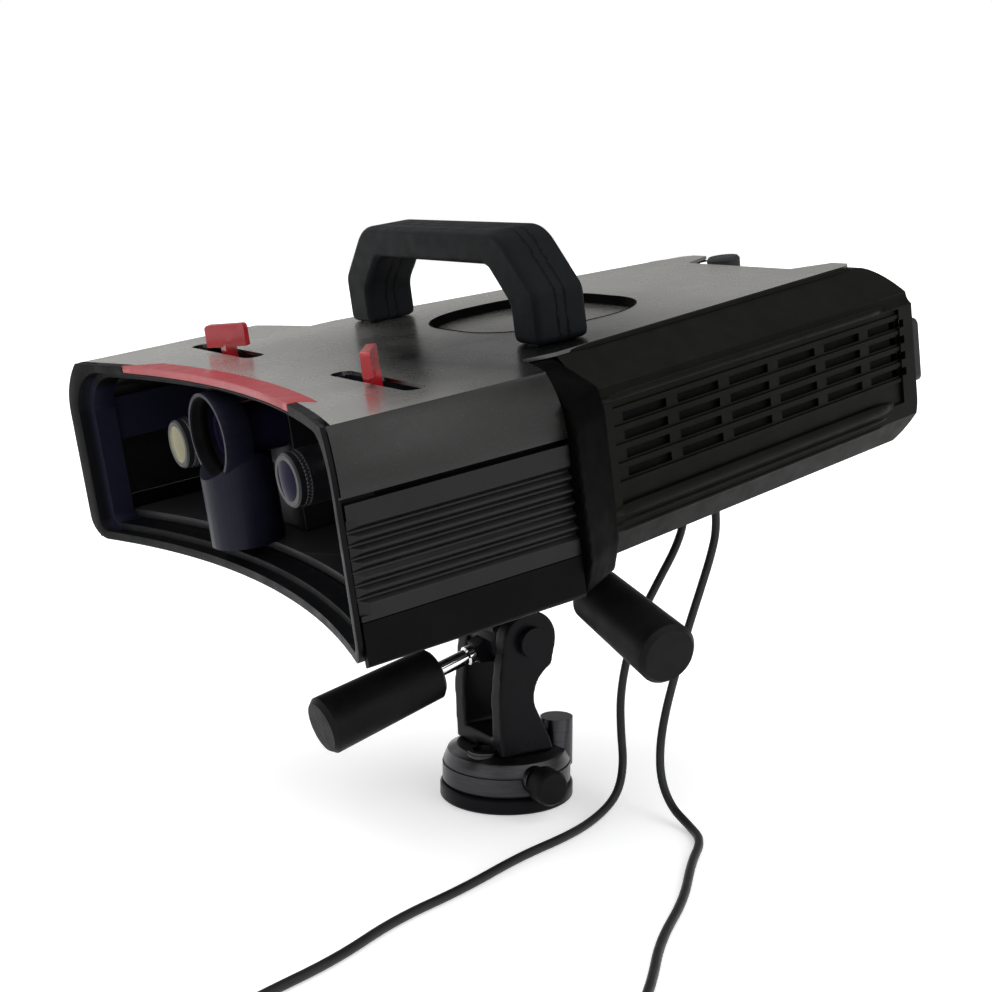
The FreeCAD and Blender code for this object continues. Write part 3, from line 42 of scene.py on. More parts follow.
# Where the scanner stands: nose down about the tilt axis, then set back and up on the head
pitchDown = math.radians(8.6)
tiltAxisHeight = 0.1
scannerSetting = (0, -0.18, 0.075)
tiltTurn = Matrix.Translation((0, 0, tiltAxisHeight)) @ Matrix.Rotation(pitchDown, 4, "X")
scannerTurn = tiltTurn @ Matrix.Translation(scannerSetting)


def millimetres(*point):
    return Vector([number / 1000 for number in point])


# Camera at the photograph's angle: place and film in millimetres, farthest reach in metres
viewpoint = {"place": (836.7, -530.9, 360.0), "lens": 62.31, "film": 36, "farthest": 50}
camera = bpy.data.objects.new("camera", bpy.data.cameras.new("camera"))
scene.collection.objects.link(camera)
camera.data.sensor_width = viewpoint["film"]
camera.data.lens = viewpoint["lens"]
camera.data.clip_end = viewpoint["farthest"]
cameraAxes = ((0.5304, 0.8478, 0.0), (-0.1498, 0.0937, 0.9843), (0.8344, -0.522, 0.1767))
cameraPlace = Matrix.Translation(millimetres(*viewpoint["place"]))
camera.matrix_world = cameraPlace @ Matrix(cameraAxes).transposed().to_4x4()
scene.camera = camera
scene.view_settings.view_transform = "Standard"
print("stage: camera")


# Materials
class Shader:
    def __init__(self, name):
        self.material = bpy.data.materials.new(name)
        self.material.use_nodes = True
        self.nodes = self.material.node_tree.nodes
        self.links = self.material.node_tree.links
        self.surface = self.nodes["Principled BSDF"]
        self.place = self.nodes.new("ShaderNodeTexCoord").outputs["Object"]
        self.height = None

    def fixed(self, **values):
        for name, value in values.items():
            self.surface.inputs[name.replace("_", " ")].default_value = value

    def stretched(self, x, y, z):
        mapping = self.nodes.new("ShaderNodeMapping")
        mapping.inputs["Scale"].default_value = (x, y, z)
        self.links.new(self.place, mapping.inputs["Vector"])
        return mapping.outputs["Vector"]

    def noise(self, scale, detail=3, rough=0.55, where=None):
        node = self.nodes.new("ShaderNodeTexNoise")
        node.inputs["Scale"].default_value = scale
        node.inputs["Detail"].default_value = detail
        node.inputs["Roughness"].default_value = rough
        self.links.new(where or self.place, node.inputs["Vector"])
        return node.outputs["Fac"]

    def cells(self, scale):
        node = self.nodes.new("ShaderNodeTexVoronoi")
        node.inputs["Scale"].default_value = scale
        self.links.new(self.place, node.inputs["Vector"])
        return node

    def math(self, operation, first, second=0.5):
        node = self.nodes.new("ShaderNodeMath")
        node.operation = operation
        for target, value in zip(node.inputs, (first, second)):
            if isinstance(value, bpy.types.NodeSocket):
                self.links.new(value, target)
            else:
                target.default_value = value
        return node.outputs[0]

    def span(self, value, fromLow, fromHigh, toLow, toHigh):
        node = self.nodes.new("ShaderNodeMapRange")
        limits = {"From Min": fromLow, "From Max": fromHigh, "To Min": toLow, "To Max": toHigh}
        for name, number in limits.items():
            node.inputs[name].default_value = number
        self.links.new(value, node.inputs["Value"])
        return node.outputs["Result"]

    def blend(self, share, first, second):
        node = self.nodes.new("ShaderNodeMix")
        node.data_type = "RGBA"
        self.links.new(share, node.inputs[0])
        for target, value in ((node.inputs[6], first), (node.inputs[7], second)):
            if isinstance(value, bpy.types.NodeSocket):
                self.links.new(value, target)
            else:
                target.default_value = (*value, 1)
        return node.outputs[2]

    def along(self, direction, start=0.0):
        node = self.nodes.new("ShaderNodeVectorMath")
        node.operation = "DOT_PRODUCT"
        self.links.new(self.place, node.inputs[0])
        node.inputs[1].default_value = direction
        return self.math("SUBTRACT", node.outputs["Value"], start)

    def bump(self, height, distance, strength=1.0):
        node = self.nodes.new("ShaderNodeBump")
        node.inputs["Distance"].default_value = distance
        node.inputs["Strength"].default_value = strength
        self.links.new(height, node.inputs["Height"])
        if self.height is not None:
            self.links.new(self.height, node.inputs["Normal"])
        self.height = node.outputs["Normal"]
        self.links.new(self.height, self.surface.inputs["Normal"])

    def colour(self, value):
        self.links.new(value, self.surface.inputs["Base Color"])

    def roughness(self, value):
        self.links.new(value, self.surface.inputs["Roughness"])


def moulded(name, dark, light, rough=(0.38, 0.52), grain=900, depth=0.00006, specular=0.2):
    # Moulded plastic or rubber: mottled tone, uneven sheen and a fine grain
    shader = Shader(name)
    shader.colour(shader.blend(shader.span(shader.noise(38, 5, 0.62), 0.35, 0.65, 0.0, 1.0), dark, light))
    shader.roughness(shader.span(shader.noise(90, 4, 0.6), 0.3, 0.7, *rough))
    shader.bump(shader.noise(14, 2, 0.5), 0.0004, 0.25)
    shader.bump(shader.noise(grain, 3, 0.65), depth, 0.8)
    shader.fixed(Specular_IOR_Level=specular)
    return shader.material


def powderCoat(name):
    # Dark powder coat with orange peel and fine bright metal flecks
    shader = Shader(name)
    flecks = shader.cells(2600)
    spark = shader.span(flecks.outputs["Color"], 0.86, 0.96, 0.0, 1.0)
    body = shader.blend(shader.noise(30, 4, 0.6), (0.0022, 0.0026, 0.002), (0.0045, 0.005, 0.0038))
    shader.colour(shader.blend(spark, body, (0.026, 0.025, 0.022)))
    shader.roughness(shader.span(shader.noise(160, 3, 0.6), 0.3, 0.7, 0.30, 0.42))
    shader.bump(shader.noise(900, 3, 0.6), 0.00009, 0.7)
    shader.fixed(Specular_IOR_Level=0.32)
    return shader.material


def brushed(name, dark, light, scale, rough=(0.26, 0.4), metallic=1.0):
    # Brushed metal: fine lines along one direction, cloudy tone and faint smudges
    shader = Shader(name)
    lines = shader.noise(1, 4, 0.7, shader.stretched(*scale))
    cloud = shader.noise(12, 3, 0.5)
    mixed = shader.math("ADD", shader.math("MULTIPLY", lines, 0.6), shader.math("MULTIPLY", cloud, 0.4))
    shader.colour(shader.blend(shader.span(mixed, 0.35, 0.65, 0.0, 1.0), dark, light))
    shader.roughness(shader.span(shader.noise(26, 4, 0.6), 0.3, 0.7, *rough))
    shader.bump(lines, 0.00001, 0.3)
    shader.fixed(Metallic=metallic)
    return shader.material


def platedTop(name, dark, light, shaded):
    # Brushed top plate: clouded by handling, with a painted dark reflection of the handle round the handle
    # and painted shade on its cut edges and every other face that does not face up
    shader = Shader(name)
    lines = shader.noise(1, 4, 0.7, shader.stretched(30, 2600, 2600))
    cloud = shader.noise(12, 3, 0.5)
    mixed = shader.math("ADD", shader.math("MULTIPLY", lines, 0.6), shader.math("MULTIPLY", cloud, 0.4))
    metal = shader.blend(shader.span(mixed, 0.35, 0.65, 0.0, 1.0), dark, light)
    rearward = Vector((0, math.cos(pitchDown), math.sin(pitchDown)))
    start = scannerTurn.translation.dot(rearward)
    # Painted dark reflection of the handle: the plate takes the dark colour between these distances back,
    # more so towards its right side
    wander = shader.math("MULTIPLY", shader.math("SUBTRACT", shader.noise(9, 2, 0.5), 0.5), 0.05)
    back = shader.math("ADD", shader.along(rearward, start), wander)
    aside = shader.span(shader.along((1, 0, 0)), -0.1, 0.05, 0.0, 1.0)
    reflectionFromFront = shader.span(back, 0.045, 0.115, 0.0, 1.0)
    handleReflection = shader.math("MULTIPLY", reflectionFromFront, shader.span(back, 0.2, 0.3, 1.0, 0.0))
    face = shader.blend(shader.math("MULTIPLY", handleReflection, aside), metal, shaded)
    # Painted shade: faces that do not face up take the dark colour instead of the metal
    level = shader.nodes.new("ShaderNodeSeparateXYZ")
    shader.links.new(shader.nodes.new("ShaderNodeNewGeometry").outputs["Normal"], level.inputs[0])
    topward = shader.span(level.outputs["Z"], 0.75, 0.92, 0.0, 1.0)
    shader.colour(shader.blend(topward, shaded, face))
    shader.roughness(shader.span(shader.noise(26, 4, 0.6), 0.3, 0.7, 0.24, 0.3))
    shader.bump(lines, 0.00001, 0.3)
    shader.fixed(Metallic=1.0)
    return shader.material


def glossy(name, dark, light, rough=(0.12, 0.22), coat=0.4, specular=0.5):
    shader = Shader(name)
    shader.colour(shader.blend(shader.noise(24, 4, 0.6), dark, light))
    shader.roughness(shader.span(shader.noise(120, 4, 0.6), 0.3, 0.7, *rough))
    shader.bump(shader.noise(220, 3, 0.6), 0.00004, 0.5)
    shader.fixed(Coat_Weight=coat, Coat_Roughness=0.12, Specular_IOR_Level=specular)
    return shader.material


def lensGlass(name, dark, light):
    # Coated front lens: tinted glass with faint dust
    shader = Shader(name)
    shader.colour(shader.blend(shader.noise(60, 3, 0.5), dark, light))
    shader.roughness(shader.span(shader.noise(900, 3, 0.7), 0.4, 0.75, 0.05, 0.16))
    shader.fixed(Specular_IOR_Level=0.02)
    return shader.material


def rimPlastic(name, dark, light, navy):
    # The window rim: black outside, navy on the inner step of its far side
    shader = Shader(name)
    body = shader.blend(shader.noise(38, 5, 0.62), dark, light)
    farSide = shader.span(shader.along((-1, 0, 0), 0.158), 0.0, 0.003, 0.0, 1.0)
    rearward = Vector((0, math.cos(pitchDown), math.sin(pitchDown)))
    lipBack = (scannerTurn @ millimetres(0, 7, 0)).dot(rearward)
    behindLip = shader.span(shader.along(rearward, lipBack), 0.0, 0.003, 0.0, 1.0)
    shader.colour(shader.blend(shader.math("MULTIPLY", farSide, behindLip), body, navy))
    shader.roughness(shader.span(shader.noise(90, 4, 0.6), 0.3, 0.7, 0.42, 0.56))
    shader.bump(shader.noise(900, 3, 0.65), 0.00006, 0.8)
    shader.fixed(Specular_IOR_Level=0.07)
    return shader.material


def seamedRubber(name, dark, light):
    # The carry handle's moulded sleeve: two ragged joint lines run round its ends
    shader = Shader(name)
    shader.colour(shader.blend(shader.noise(45, 4, 0.6), dark, light))
    shader.roughness(shader.span(shader.noise(110, 4, 0.6), 0.3, 0.7, 0.42, 0.56))
    shader.bump(shader.noise(1100, 3, 0.65), 0.00007, 0.8)
    rearward = (0, math.cos(pitchDown), math.sin(pitchDown))
    gripFront = (scannerTurn @ millimetres(0, 161, 0)).dot(Vector(rearward))
    ragged = shader.math("MULTIPLY", shader.math("SUBTRACT", shader.noise(300, 5, 0.85), 0.5), 0.0075)
    for share in (0.40, 0.58):
        across = shader.along(rearward, gripFront + 0.032 * share)
        off = shader.math("ABSOLUTE", shader.math("ADD", across, ragged))
        shader.bump(shader.span(off, 0.0, 0.0006, 0.0, 1.0), 0.0005, 1.0)
    shader.fixed(Specular_IOR_Level=0.05)
    return shader.material


materials = {
    "powder": powderCoat("powderCoat"),
    "ribs": moulded(
        "ribPlastic", (0.0018, 0.0021, 0.0018), (0.0034, 0.0038, 0.0034), (0.3, 0.42), specular=0.2,
    ),
    # A darker copy of the moulded plastic for the lower panels: painted shade, with less sheen
    "lower": moulded(
        "lowerPlasticPaintedShade", (0.0010, 0.0011, 0.0010), (0.002, 0.0022, 0.002), (0.36, 0.48), specular=0.045,
    ),
    "rim": rimPlastic(
        "rimPlastic", (0.0016, 0.0018, 0.0022), (0.003, 0.0033, 0.0042), (0.007, 0.007, 0.016),
    ),
    "shell": moulded(
        "shellPlastic", (0.0016, 0.0018, 0.0012), (0.003, 0.0032, 0.0022), (0.36, 0.5), specular=0.05,
    ),
    "collar": moulded(
        "collarPlastic", (0.001, 0.001, 0.001), (0.0019, 0.0019, 0.0018), (0.44, 0.58), specular=0.008,
    ),
    # The last colour is the painted dark reflection and shade on the top plates
    "plate": platedTop("brushedPlate", (0.62, 0.61, 0.575), (0.8, 0.785, 0.745), (0.07, 0.07, 0.069)),
    "steel": brushed("machinedSteel", (0.4, 0.4, 0.4), (0.62, 0.62, 0.62), (900, 40, 900)),
    "chrome": brushed(
        "polishedChrome", (0.76, 0.76, 0.78), (0.9, 0.9, 0.92), (300, 300, 300), (0.06, 0.16),
    ),
    "trim": glossy("trimRed", (0.24, 0.008, 0.014), (0.33, 0.012, 0.02), (0.3, 0.42), 0.15, 0.3),
    "lever": glossy("leverRed", (0.22, 0.004, 0.009), (0.32, 0.007, 0.013), (0.2, 0.3), 0.35, 0.4),
    "rubber": moulded(
        "rubberBlack", (0.010, 0.011, 0.012), (0.018, 0.019, 0.021), (0.5, 0.66), 1300, 0.00009, 0.2,
    ),
    "handle": seamedRubber("handleSleeve", (0.0035, 0.004, 0.005), (0.006, 0.0068, 0.0082)),
    "grip": moulded(
        "gripRubber", (0.003, 0.003, 0.0035), (0.0065, 0.0065, 0.007), (0.42, 0.56), 1500, 0.00006, 0.09,
    ),
    "casting": glossy(
        "paintedCasting", (0.003, 0.003, 0.004), (0.0065, 0.0065, 0.008), (0.26, 0.4), 0.02, 0.07,
    ),
    "anodised": brushed(
        "anodisedPlate", (0.012, 0.012, 0.014), (0.024, 0.024, 0.027), (40, 1800, 1800), (0.45, 0.6), 0.4,
    ),
    "baffle": moulded(
        "baffleNavy", (0.0025, 0.0025, 0.005), (0.005, 0.005, 0.010), (0.6, 0.75), 1200, specular=0.08,
    ),
    "hood": moulded(
        "hoodGrey", (0.0055, 0.0055, 0.012), (0.0095, 0.0095, 0.019), (0.32, 0.44), 1400, 0.00004, 0.1,
    ),
    "camera": moulded(
        "cameraBlack", (0.004, 0.004, 0.005), (0.008, 0.008, 0.010), (0.34, 0.46), 1600, 0.00004, 0.3,
    ),
    "glass": lensGlass("lensCoating", (0.004, 0.004, 0.012), (0.012, 0.010, 0.028)),
    # Matt black sheet, used for the painted shade behind the vents and for the hood lining
    "blackSheet": moulded(
        "mattBlackSheet", (0.002, 0.002, 0.002), (0.004, 0.004, 0.004), (0.6, 0.8), 2400, 0.0002, 0.05,
    ),
    "housing": brushed(
        "panHousingMetal", (0.03, 0.03, 0.032), (0.06, 0.06, 0.063), (60, 60, 1500), (0.28, 0.4),
    ),
    "cream": lensGlass("lensPaleCoating", (0.2, 0.19, 0.125), (0.27, 0.255, 0.175)),
    "knurl": moulded(
        "knurledRing", (0.006, 0.006, 0.008), (0.014, 0.014, 0.017), (0.2, 0.3), 1600, 0.00003, 0.5,
    ),
    "board": glossy("boardGreen", (0.003, 0.007, 0.005), (0.005, 0.012, 0.008), (0.4, 0.55), 0.1, 0.15),
    "cord": moulded(
        "cordJacket", (0.006, 0.006, 0.007), (0.012, 0.012, 0.013), (0.4, 0.52), 2200, 0.00003, 0.25,
    ),
}

nodeMaterials = {
    "base_plate": "casting",
    "pan_housing": "housing",
    "pan_lock_knob": "grip",
    "index_ring": "housing",
    "yoke_casting": "casting",
    "tilt_block": "casting",
    "tilt_pin": "casting",
    "tilt_rod": "chrome",
    "tilt_grip": "grip",
    "side_rod": "casting",
    "side_grip": "grip",
    "platform": "casting",
    "mounting_plate": "anodised",
    "chassis_plate": "anodised",
    "front_bezel": "rim",
    "red_trim": "trim",
    "front_top_plate": "plate",
    "rear_top_plate": "plate",
    "collar_frame": "collar",
    "rear_panel": "shell",
    "rear_bumpers": "rubber",
    "handle_core": "steel",
    "handle_cover": "rubber",
    "handle_bolts": "steel",
    "optical_bench": "anodised",
    "inner_baffle": "baffle",
    "projector_shroud": "hood",
    "projector_lens": "glass",
    "projector_body": "camera",
    "lever_rails": "steel",
    "control_board": "board",
    "fan_frame": "camera",
    "fan_rotor": "camera",
    "power_button": "rubber",
    "cord_glands": "rubber",
    "data_plug": "cord",
    "power_plug": "cord",
}
for side, sign in sides:
    nodeMaterials[f"{side}_shoulder_panel"] = "powder"
    nodeMaterials[f"{side}_rib_panel"] = "ribs"
    nodeMaterials[f"{side}_lower_panel"] = "lower"
    nodeMaterials[f"{side}_rear_shell"] = "shell"
    nodeMaterials[f"{side}_lever"] = "lever"
    nodeMaterials[f"{side}_camera_bracket"] = "anodised"
    nodeMaterials[f"{side}_camera_body"] = "camera"
    nodeMaterials[f"{side}_lens_barrel"] = "camera"
    nodeMaterials[f"{side}_focus_ring"] = "camera"


def dress(obj, key):
    obj.data.materials.clear()
    obj.data.materials.append(materials[key])


def softEdges(obj, width, angle=32, segments=2):
    weld = obj.modifiers.new("weld", "WELD")
    weld.merge_threshold = 0.00001
    bevel = obj.modifiers.new("bevel", "BEVEL")
    bevel.width = width
    bevel.segments = segments
    bevel.limit_method = "ANGLE"
    bevel.angle_limit = math.radians(angle)
    bevel.harden_normals = True


for name, key in nodeMaterials.items():
    dress(nodes[name], key)
print("stage: materials")

# Cords: each free stretch and its coil are one spline through the route's points
cordDiameter = 0.005
coilShape = {"inner": 0.020, "pitch": 0.0064, "turns": 3, "lift": 0.0056, "level": 0.00255, "perTurn": 16}
glandPlace = {"back": 290, "down": 12}
cordRoutes = {
    "data": {
        "gland": 70,
        "length": 1.59,
        "points": [
            (70, 101.3, 165), (70, 97.5, 149), (70, 90, 129), (70, 81, 106), (70, 73, 82),
            (70.3, 65.5, 59), (72.5, 60, 39), (79, 56, 21.5), (91, 54.8, 8.5), (108, 54.8, 2.55),
            (129, 47, 2.55), (151, 22, 2.55), (188, -12, 2.55), (220, -52, 2.55), (258, -86, 2.55),
            (296.55, -130.5, 2.55),
        ],
        "centre": (275.1, -186.2),
        "heading": 20,
        "hand": -1,
        "more": 0,
    },
    "power": {
        "gland": 40,
        "length": 1.67,
        "points": [
            (40, 101.3, 165), (40, 95, 148), (40, 82, 129), (40, 69, 109), (40, 59.5, 86),
            (40.5, 54.5, 63), (43.5, 53, 42), (51, 50, 23.5), (60, 39.5, 10), (66.8, 22, 2.55),
            (83, -9, 2.55), (95, -52, 2.55), (116, -100, 2.55), (131, -149, 2.55), (155, -193, 2.55),
            (170.3, -238.9, 2.55),
        ],
        "centre": (225.2, -265.9),
        "heading": 204,
        "hand": 1,
        "more": 0.25,
    },
}


def coilPoint(route, at):
    shape = coilShape
    turns = shape["turns"]
    if at <= turns:
        radius, rise = shape["inner"] + shape["pitch"] * (turns - at), 0
    elif at <= turns + 0.5:
        radius, rise = shape["inner"], 0.5 - 0.5 * math.cos(2 * math.pi * (at - turns))
    else:
        radius, rise = shape["inner"] + shape["pitch"] * (at - turns - 0.5), 1
    angle = math.radians(route["heading"]) + route["hand"] * 2 * math.pi * at
    x = route["centre"][0] / 1000 + radius * 1.008 * math.cos(angle)
    y = route["centre"][1] / 1000 + radius * 1.008 * math.sin(angle)
    return Vector((x, y, shape["level"] + rise * shape["lift"]))


def buildCord(kind, route):
    exitPoint = scannerTurn @ millimetres(route["gland"], glandPlace["back"], -glandPlace["down"])
    perTurn = coilShape["perTurn"]
    last = 2 * coilShape["turns"] + route["more"]
    count = int(last * perTurn)
    turns = [coilPoint(route, number / perTurn) for number in range(count + 1)]
    points = [exitPoint] + [millimetres(*point) for point in route["points"]]
    points.append(turns[0] + (turns[0] - turns[1]).normalized() * 0.005)
    points += turns
    outward = (turns[-1] - turns[-2]).normalized()
    points += [turns[-1] + outward * 0.008, turns[-1] + outward * 0.02]
    curve = bpy.data.curves.new(f"{kind}Lead", "CURVE")
    curve.dimensions = "3D"
    spline = curve.splines.new("NURBS")
    spline.points.add(len(points) - 1)
    for target, point in zip(spline.points, points):
        target.co = (*point, 1)
    spline.order_u = 3
    spline.use_endpoint_u = True
    spline.resolution_u = 6
    curve.bevel_depth = cordDiameter / 2
    curve.bevel_resolution = 4
    curve.use_fill_caps = True
    cord = bpy.data.objects.new(f"{kind}Lead", curve)
    scene.collection.objects.link(cord)
    curve.materials.append(materials["cord"])
    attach(cord, "scanner")
    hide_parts(f"{kind}_cord", f"{kind}_coil")


for kind, route in cordRoutes.items():
    buildCord(kind, route)
print("stage: cords")

# Soft edges on the frame's own solids
edgeWidths = {
    "front_bezel": 0.0008, "red_trim": 0.0005, "rear_panel": 0.0012, "rear_bumpers": 0.0015,
    "power_button": 0.0004, "tilt_block": 0.0012, "platform": 0.0012, "pan_housing": 0.0008,
    "base_plate": 0.0008, "mounting_plate": 0.0008,
    "projector_body": 0.001, "optical_bench": 0.0006, "chassis_plate": 0.0005, "tilt_pin": 0.0008,
    "tilt_grip": 0.003, "side_grip": 0.003, "pan_lock_knob": 0.001, "projector_shroud": 0.0006,
}
for side, sign in sides:
    edgeWidths.update({
        f"{side}_shoulder_panel": 0.0008, f"{side}_rib_panel": 0.0004, f"{side}_lower_panel": 0.0008,
        f"{side}_rear_shell": 0.0009, f"{side}_lever": 0.0008,
        f"{side}_camera_body": 0.001, f"{side}_camera_bracket": 0.0006,
    })
for name, width in edgeWidths.items():
    softEdges(nodes[name], width, segments=4 if width > 0.002 else 2)


def melted(obj, voxel, passes):
    # Large soft roundings on a casting or moulding
    remesh = obj.modifiers.new("remesh", "REMESH")
    remesh.mode = "VOXEL"
    remesh.voxel_size = voxel
    remesh.use_smooth_shade = True
    smooth = obj.modifiers.new("smooth", "SMOOTH")
    smooth.factor = 0.5
    smooth.iterations = passes


melted(nodes["collar_frame"], 0.0012, 16)
melted(nodes["yoke_casting"], 0.0009, 14)
print("stage: edges")


# Added pieces: mesh made in the scanner's own level frame, in millimetres, then set on the head
def finishPiece(name, mesh, key, body, smooth=True):
    for face in mesh.faces:
        face.smooth = smooth
    bmesh.ops.recalc_face_normals(mesh, faces=mesh.faces)
    data = bpy.data.meshes.new(name)
    mesh.to_mesh(data)
    mesh.free()
    piece = bpy.data.objects.new(name, data)
    scene.collection.objects.link(piece)
    data.materials.append(materials[key])
    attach(piece, body)
    return piece


def ringOfPoints(mesh, centre, radius, steps):
    # One circle facing forward; centre is its middle in the scanner's frame
    x, y, z = centre
    points = []
    for number in range(steps):
        angle = 2 * math.pi * number / steps
        spot = millimetres(x + radius * math.cos(angle), y, z + radius * math.sin(angle))
        points.append(mesh.verts.new(scannerTurn @ spot))
    return points


def bridge(mesh, first, second):
    count = len(first)
    for number in range(count):
        after = (number + 1) % count
        mesh.faces.new((first[number], first[after], second[after], second[number]))


def turnedPiece(name, centre, profile, key, body, steps=64):
    # A piece turned about a forward axis from (radius, distance back) pairs, closed at both ends
    mesh = bmesh.new()
    x, y, z = centre
    rings = [ringOfPoints(mesh, (x, y + back, z), radius, steps) for radius, back in profile]
    for first, second in zip(rings, rings[1:]):
        bridge(mesh, first, second)
    mesh.faces.new(rings[0])
    mesh.faces.new(rings[-1])
    return finishPiece(name, mesh, key, body)


# Front elements of the two camera lenses, one with a pale coating
frontElements = {"radius": 11.3, "out": 72, "up": 67, "back": 24.2, "crown": 1.6, "depth": 2.2}


def domeProfile(sizes):
    radius = sizes["radius"]
    profile = []
    for share in (0.06, 0.3, 0.55, 0.78, 0.94, 1.0):
        profile.append((radius * share, sizes["crown"] * share * share))
    return profile + [(radius, sizes["depth"])]


for side, sign in sides:
    spot = (sign * frontElements["out"], frontElements["back"] - 0.6, frontElements["up"])
    key = "glass" if sign > 0 else "cream"
    dome = domeProfile(frontElements)
    turnedPiece(f"{side}_front_element", spot, dome, key, f"{side}_camera")

# Knurled bands round the focus rings
knurls = {"radius": 14.0, "depth": 0.55, "count": 44, "from": 29, "to": 37}
for side, sign in sides:
    mesh = bmesh.new()
    rings = []
    for back, rise in ((0, 0.05), (0.6, 1), (7.4, 1), (8, 0.05)):
        ring = []
        for number in range(knurls["count"] * 4):
            angle = 2 * math.pi * number / (knurls["count"] * 4)
            wave = 0.5 + 0.5 * math.cos(angle * knurls["count"])
            radius = knurls["radius"] - 0.2 + (0.2 + knurls["depth"] * wave) * rise
            x = sign * frontElements["out"] + radius * math.cos(angle)
            z = frontElements["up"] + radius * math.sin(angle)
            ring.append(mesh.verts.new(scannerTurn @ millimetres(x, knurls["from"] + back, z)))
        rings.append(ring)
    for first, second in zip(rings, rings[1:]):
        bridge(mesh, first, second)
    finishPiece(f"{side}_focus_knurls", mesh, "knurl", f"{side}_focus")

# Long mouldings on the rear flanks: (height, stand-off, half width) of each, at the collar
flank = {"half": 152, "taper": 46, "start": 159, "length": 263}
mouldings = {
    "crown": {"up": 107.4, "out": 1.2, "half": 1.7, "from": 166, "to": 398, "inset": 28.6},
    "overhang": {"up": 85.6, "out": 1.9, "half": 2.4, "from": 162, "to": 396},
    "roll": {"up": 27.4, "out": 1.7, "half": 3.6, "from": 162, "to": 398},
    "bead": {"up": 21.6, "out": 0.9, "half": 1.3, "from": 162, "to": 392},
    "foot": {"up": 17.6, "out": 0.7, "half": 1.1, "from": 162, "to": 390},
}


def flankAt(y):
    return flank["half"] - flank["taper"] * (y - flank["start"]) / flank["length"]


def moulding(name, sizes, sign, key):
    # A rounded strip that follows the flank, tapered into it at both ends
    mesh = bmesh.new()
    rings = []
    steps = 28
    length = sizes["to"] - sizes["from"]
    for number in range(steps + 1):
        y = sizes["from"] + length * number / steps
        near = min(number, steps - number) / 2.0
        swell = math.sin(min(1.0, near) * math.pi / 2)
        ring = []
        for corner in range(13):
            angle = math.pi * (corner / 12 - 0.5)
            x = flankAt(y) - sizes.get("inset", 0) - 0.4 + (sizes["out"] + 0.4) * math.cos(angle) * swell
            z = sizes["up"] + sizes["half"] * math.sin(angle) * (0.5 + 0.5 * swell)
            ring.append(mesh.verts.new(scannerTurn @ millimetres(sign * x, y, z)))
        rings.append(ring)
    for first, second in zip(rings, rings[1:]):
        bridge(mesh, first, second)
    mesh.faces.new(rings[0])
    mesh.faces.new(rings[-1])
    return finishPiece(name, mesh, key, "scanner")


for side, sign in sides:
    for kind, sizes in mouldings.items():
        moulding(f"{side}_{kind}_moulding", sizes, sign, "shell")

# Dark sheets behind the side grooves and behind the vents: painted shade inside them
def sheetPiece(name, outline, thickness, key):
    # A thin upright panel between front and rear (y, x) stations, from foot to top
    mesh = bmesh.new()
    stations, foot, top = outline
    columns = []
    for y, x in stations:
        inner = x - math.copysign(thickness, x)
        corners = ((x, foot), (x, top), (inner, top), (inner, foot))
        columns.append([mesh.verts.new(scannerTurn @ millimetres(across, y, z)) for across, z in corners])
    for first, second in zip(columns, columns[1:]):
        bridge(mesh, first, second)
    mesh.faces.new(columns[0])
    mesh.faces.new(columns[-1])
    return finishPiece(name, mesh, key, "scanner", smooth=False)


grooveShadeSheet = {"out": 170, "thick": 1.2, "from": 21, "to": 122, "foot": 58, "top": 84}
blackSheet = {"inset": 5.5, "thick": 1.0, "from": 172, "to": 404, "foot": 31, "top": 80}
for side, sign in sides:
    stations = [(grooveShadeSheet["from"], sign * grooveShadeSheet["out"]), (grooveShadeSheet["to"], sign * grooveShadeSheet["out"])]
    outline = (stations, grooveShadeSheet["foot"], grooveShadeSheet["top"])
    sheetPiece(f"{side}_groove_shade_sheet", outline, grooveShadeSheet["thick"], "rim")
    # Painted shade: a dark sheet behind the vents
    stations = [(y, sign * (flankAt(y) - blackSheet["inset"])) for y in (blackSheet["from"], blackSheet["to"])]
    outline = (stations, blackSheet["foot"], blackSheet["top"])
    sheetPiece(f"{side}_vent_shade_sheet", outline, blackSheet["thick"], "blackSheet")

# Matt black lining inside the projector hood
hood = {"out": -30, "up": 76, "front": 27.4, "radius": 22.4, "deep": 9.2}
hoodLip = ((0, 0), (0, -0.5), (0.6, -0.8), (4, -0.6), (4.3, -1.0), (hood["deep"], -1.0), (hood["deep"], 0))
mesh = bmesh.new()
rings = [
    ringOfPoints(mesh, (hood["out"], hood["front"] + back, hood["up"]), hood["radius"] + grow, 64)
    for back, grow in hoodLip
]
for first, second in zip(rings, rings[1:] + rings[:1]):
    bridge(mesh, first, second)
finishPiece("hoodLining", mesh, "blackSheet", "scanner")

# A black band over the wall of the hand recess in the rear top plate: painted shadow in the recess
recess = {"left": -63, "right": 63, "front": 169, "back": 281, "corner": 50, "top": 109.3, "deep": 5.4}


def recessLoop(inset):
    points = []
    radius = recess["corner"] - inset
    for number, (x, y) in enumerate((
        (recess["right"], recess["back"]), (recess["left"], recess["back"]),
        (recess["left"], recess["front"]), (recess["right"], recess["front"]),
    )):
        middleX = x - math.copysign(recess["corner"], x)
        middleY = y - recess["corner"] * (1 if y == recess["back"] else -1)
        for step in range(13):
            angle = math.pi / 2 * (number + step / 12)
            points.append((middleX + radius * math.cos(angle), middleY + radius * math.sin(angle)))
    return points


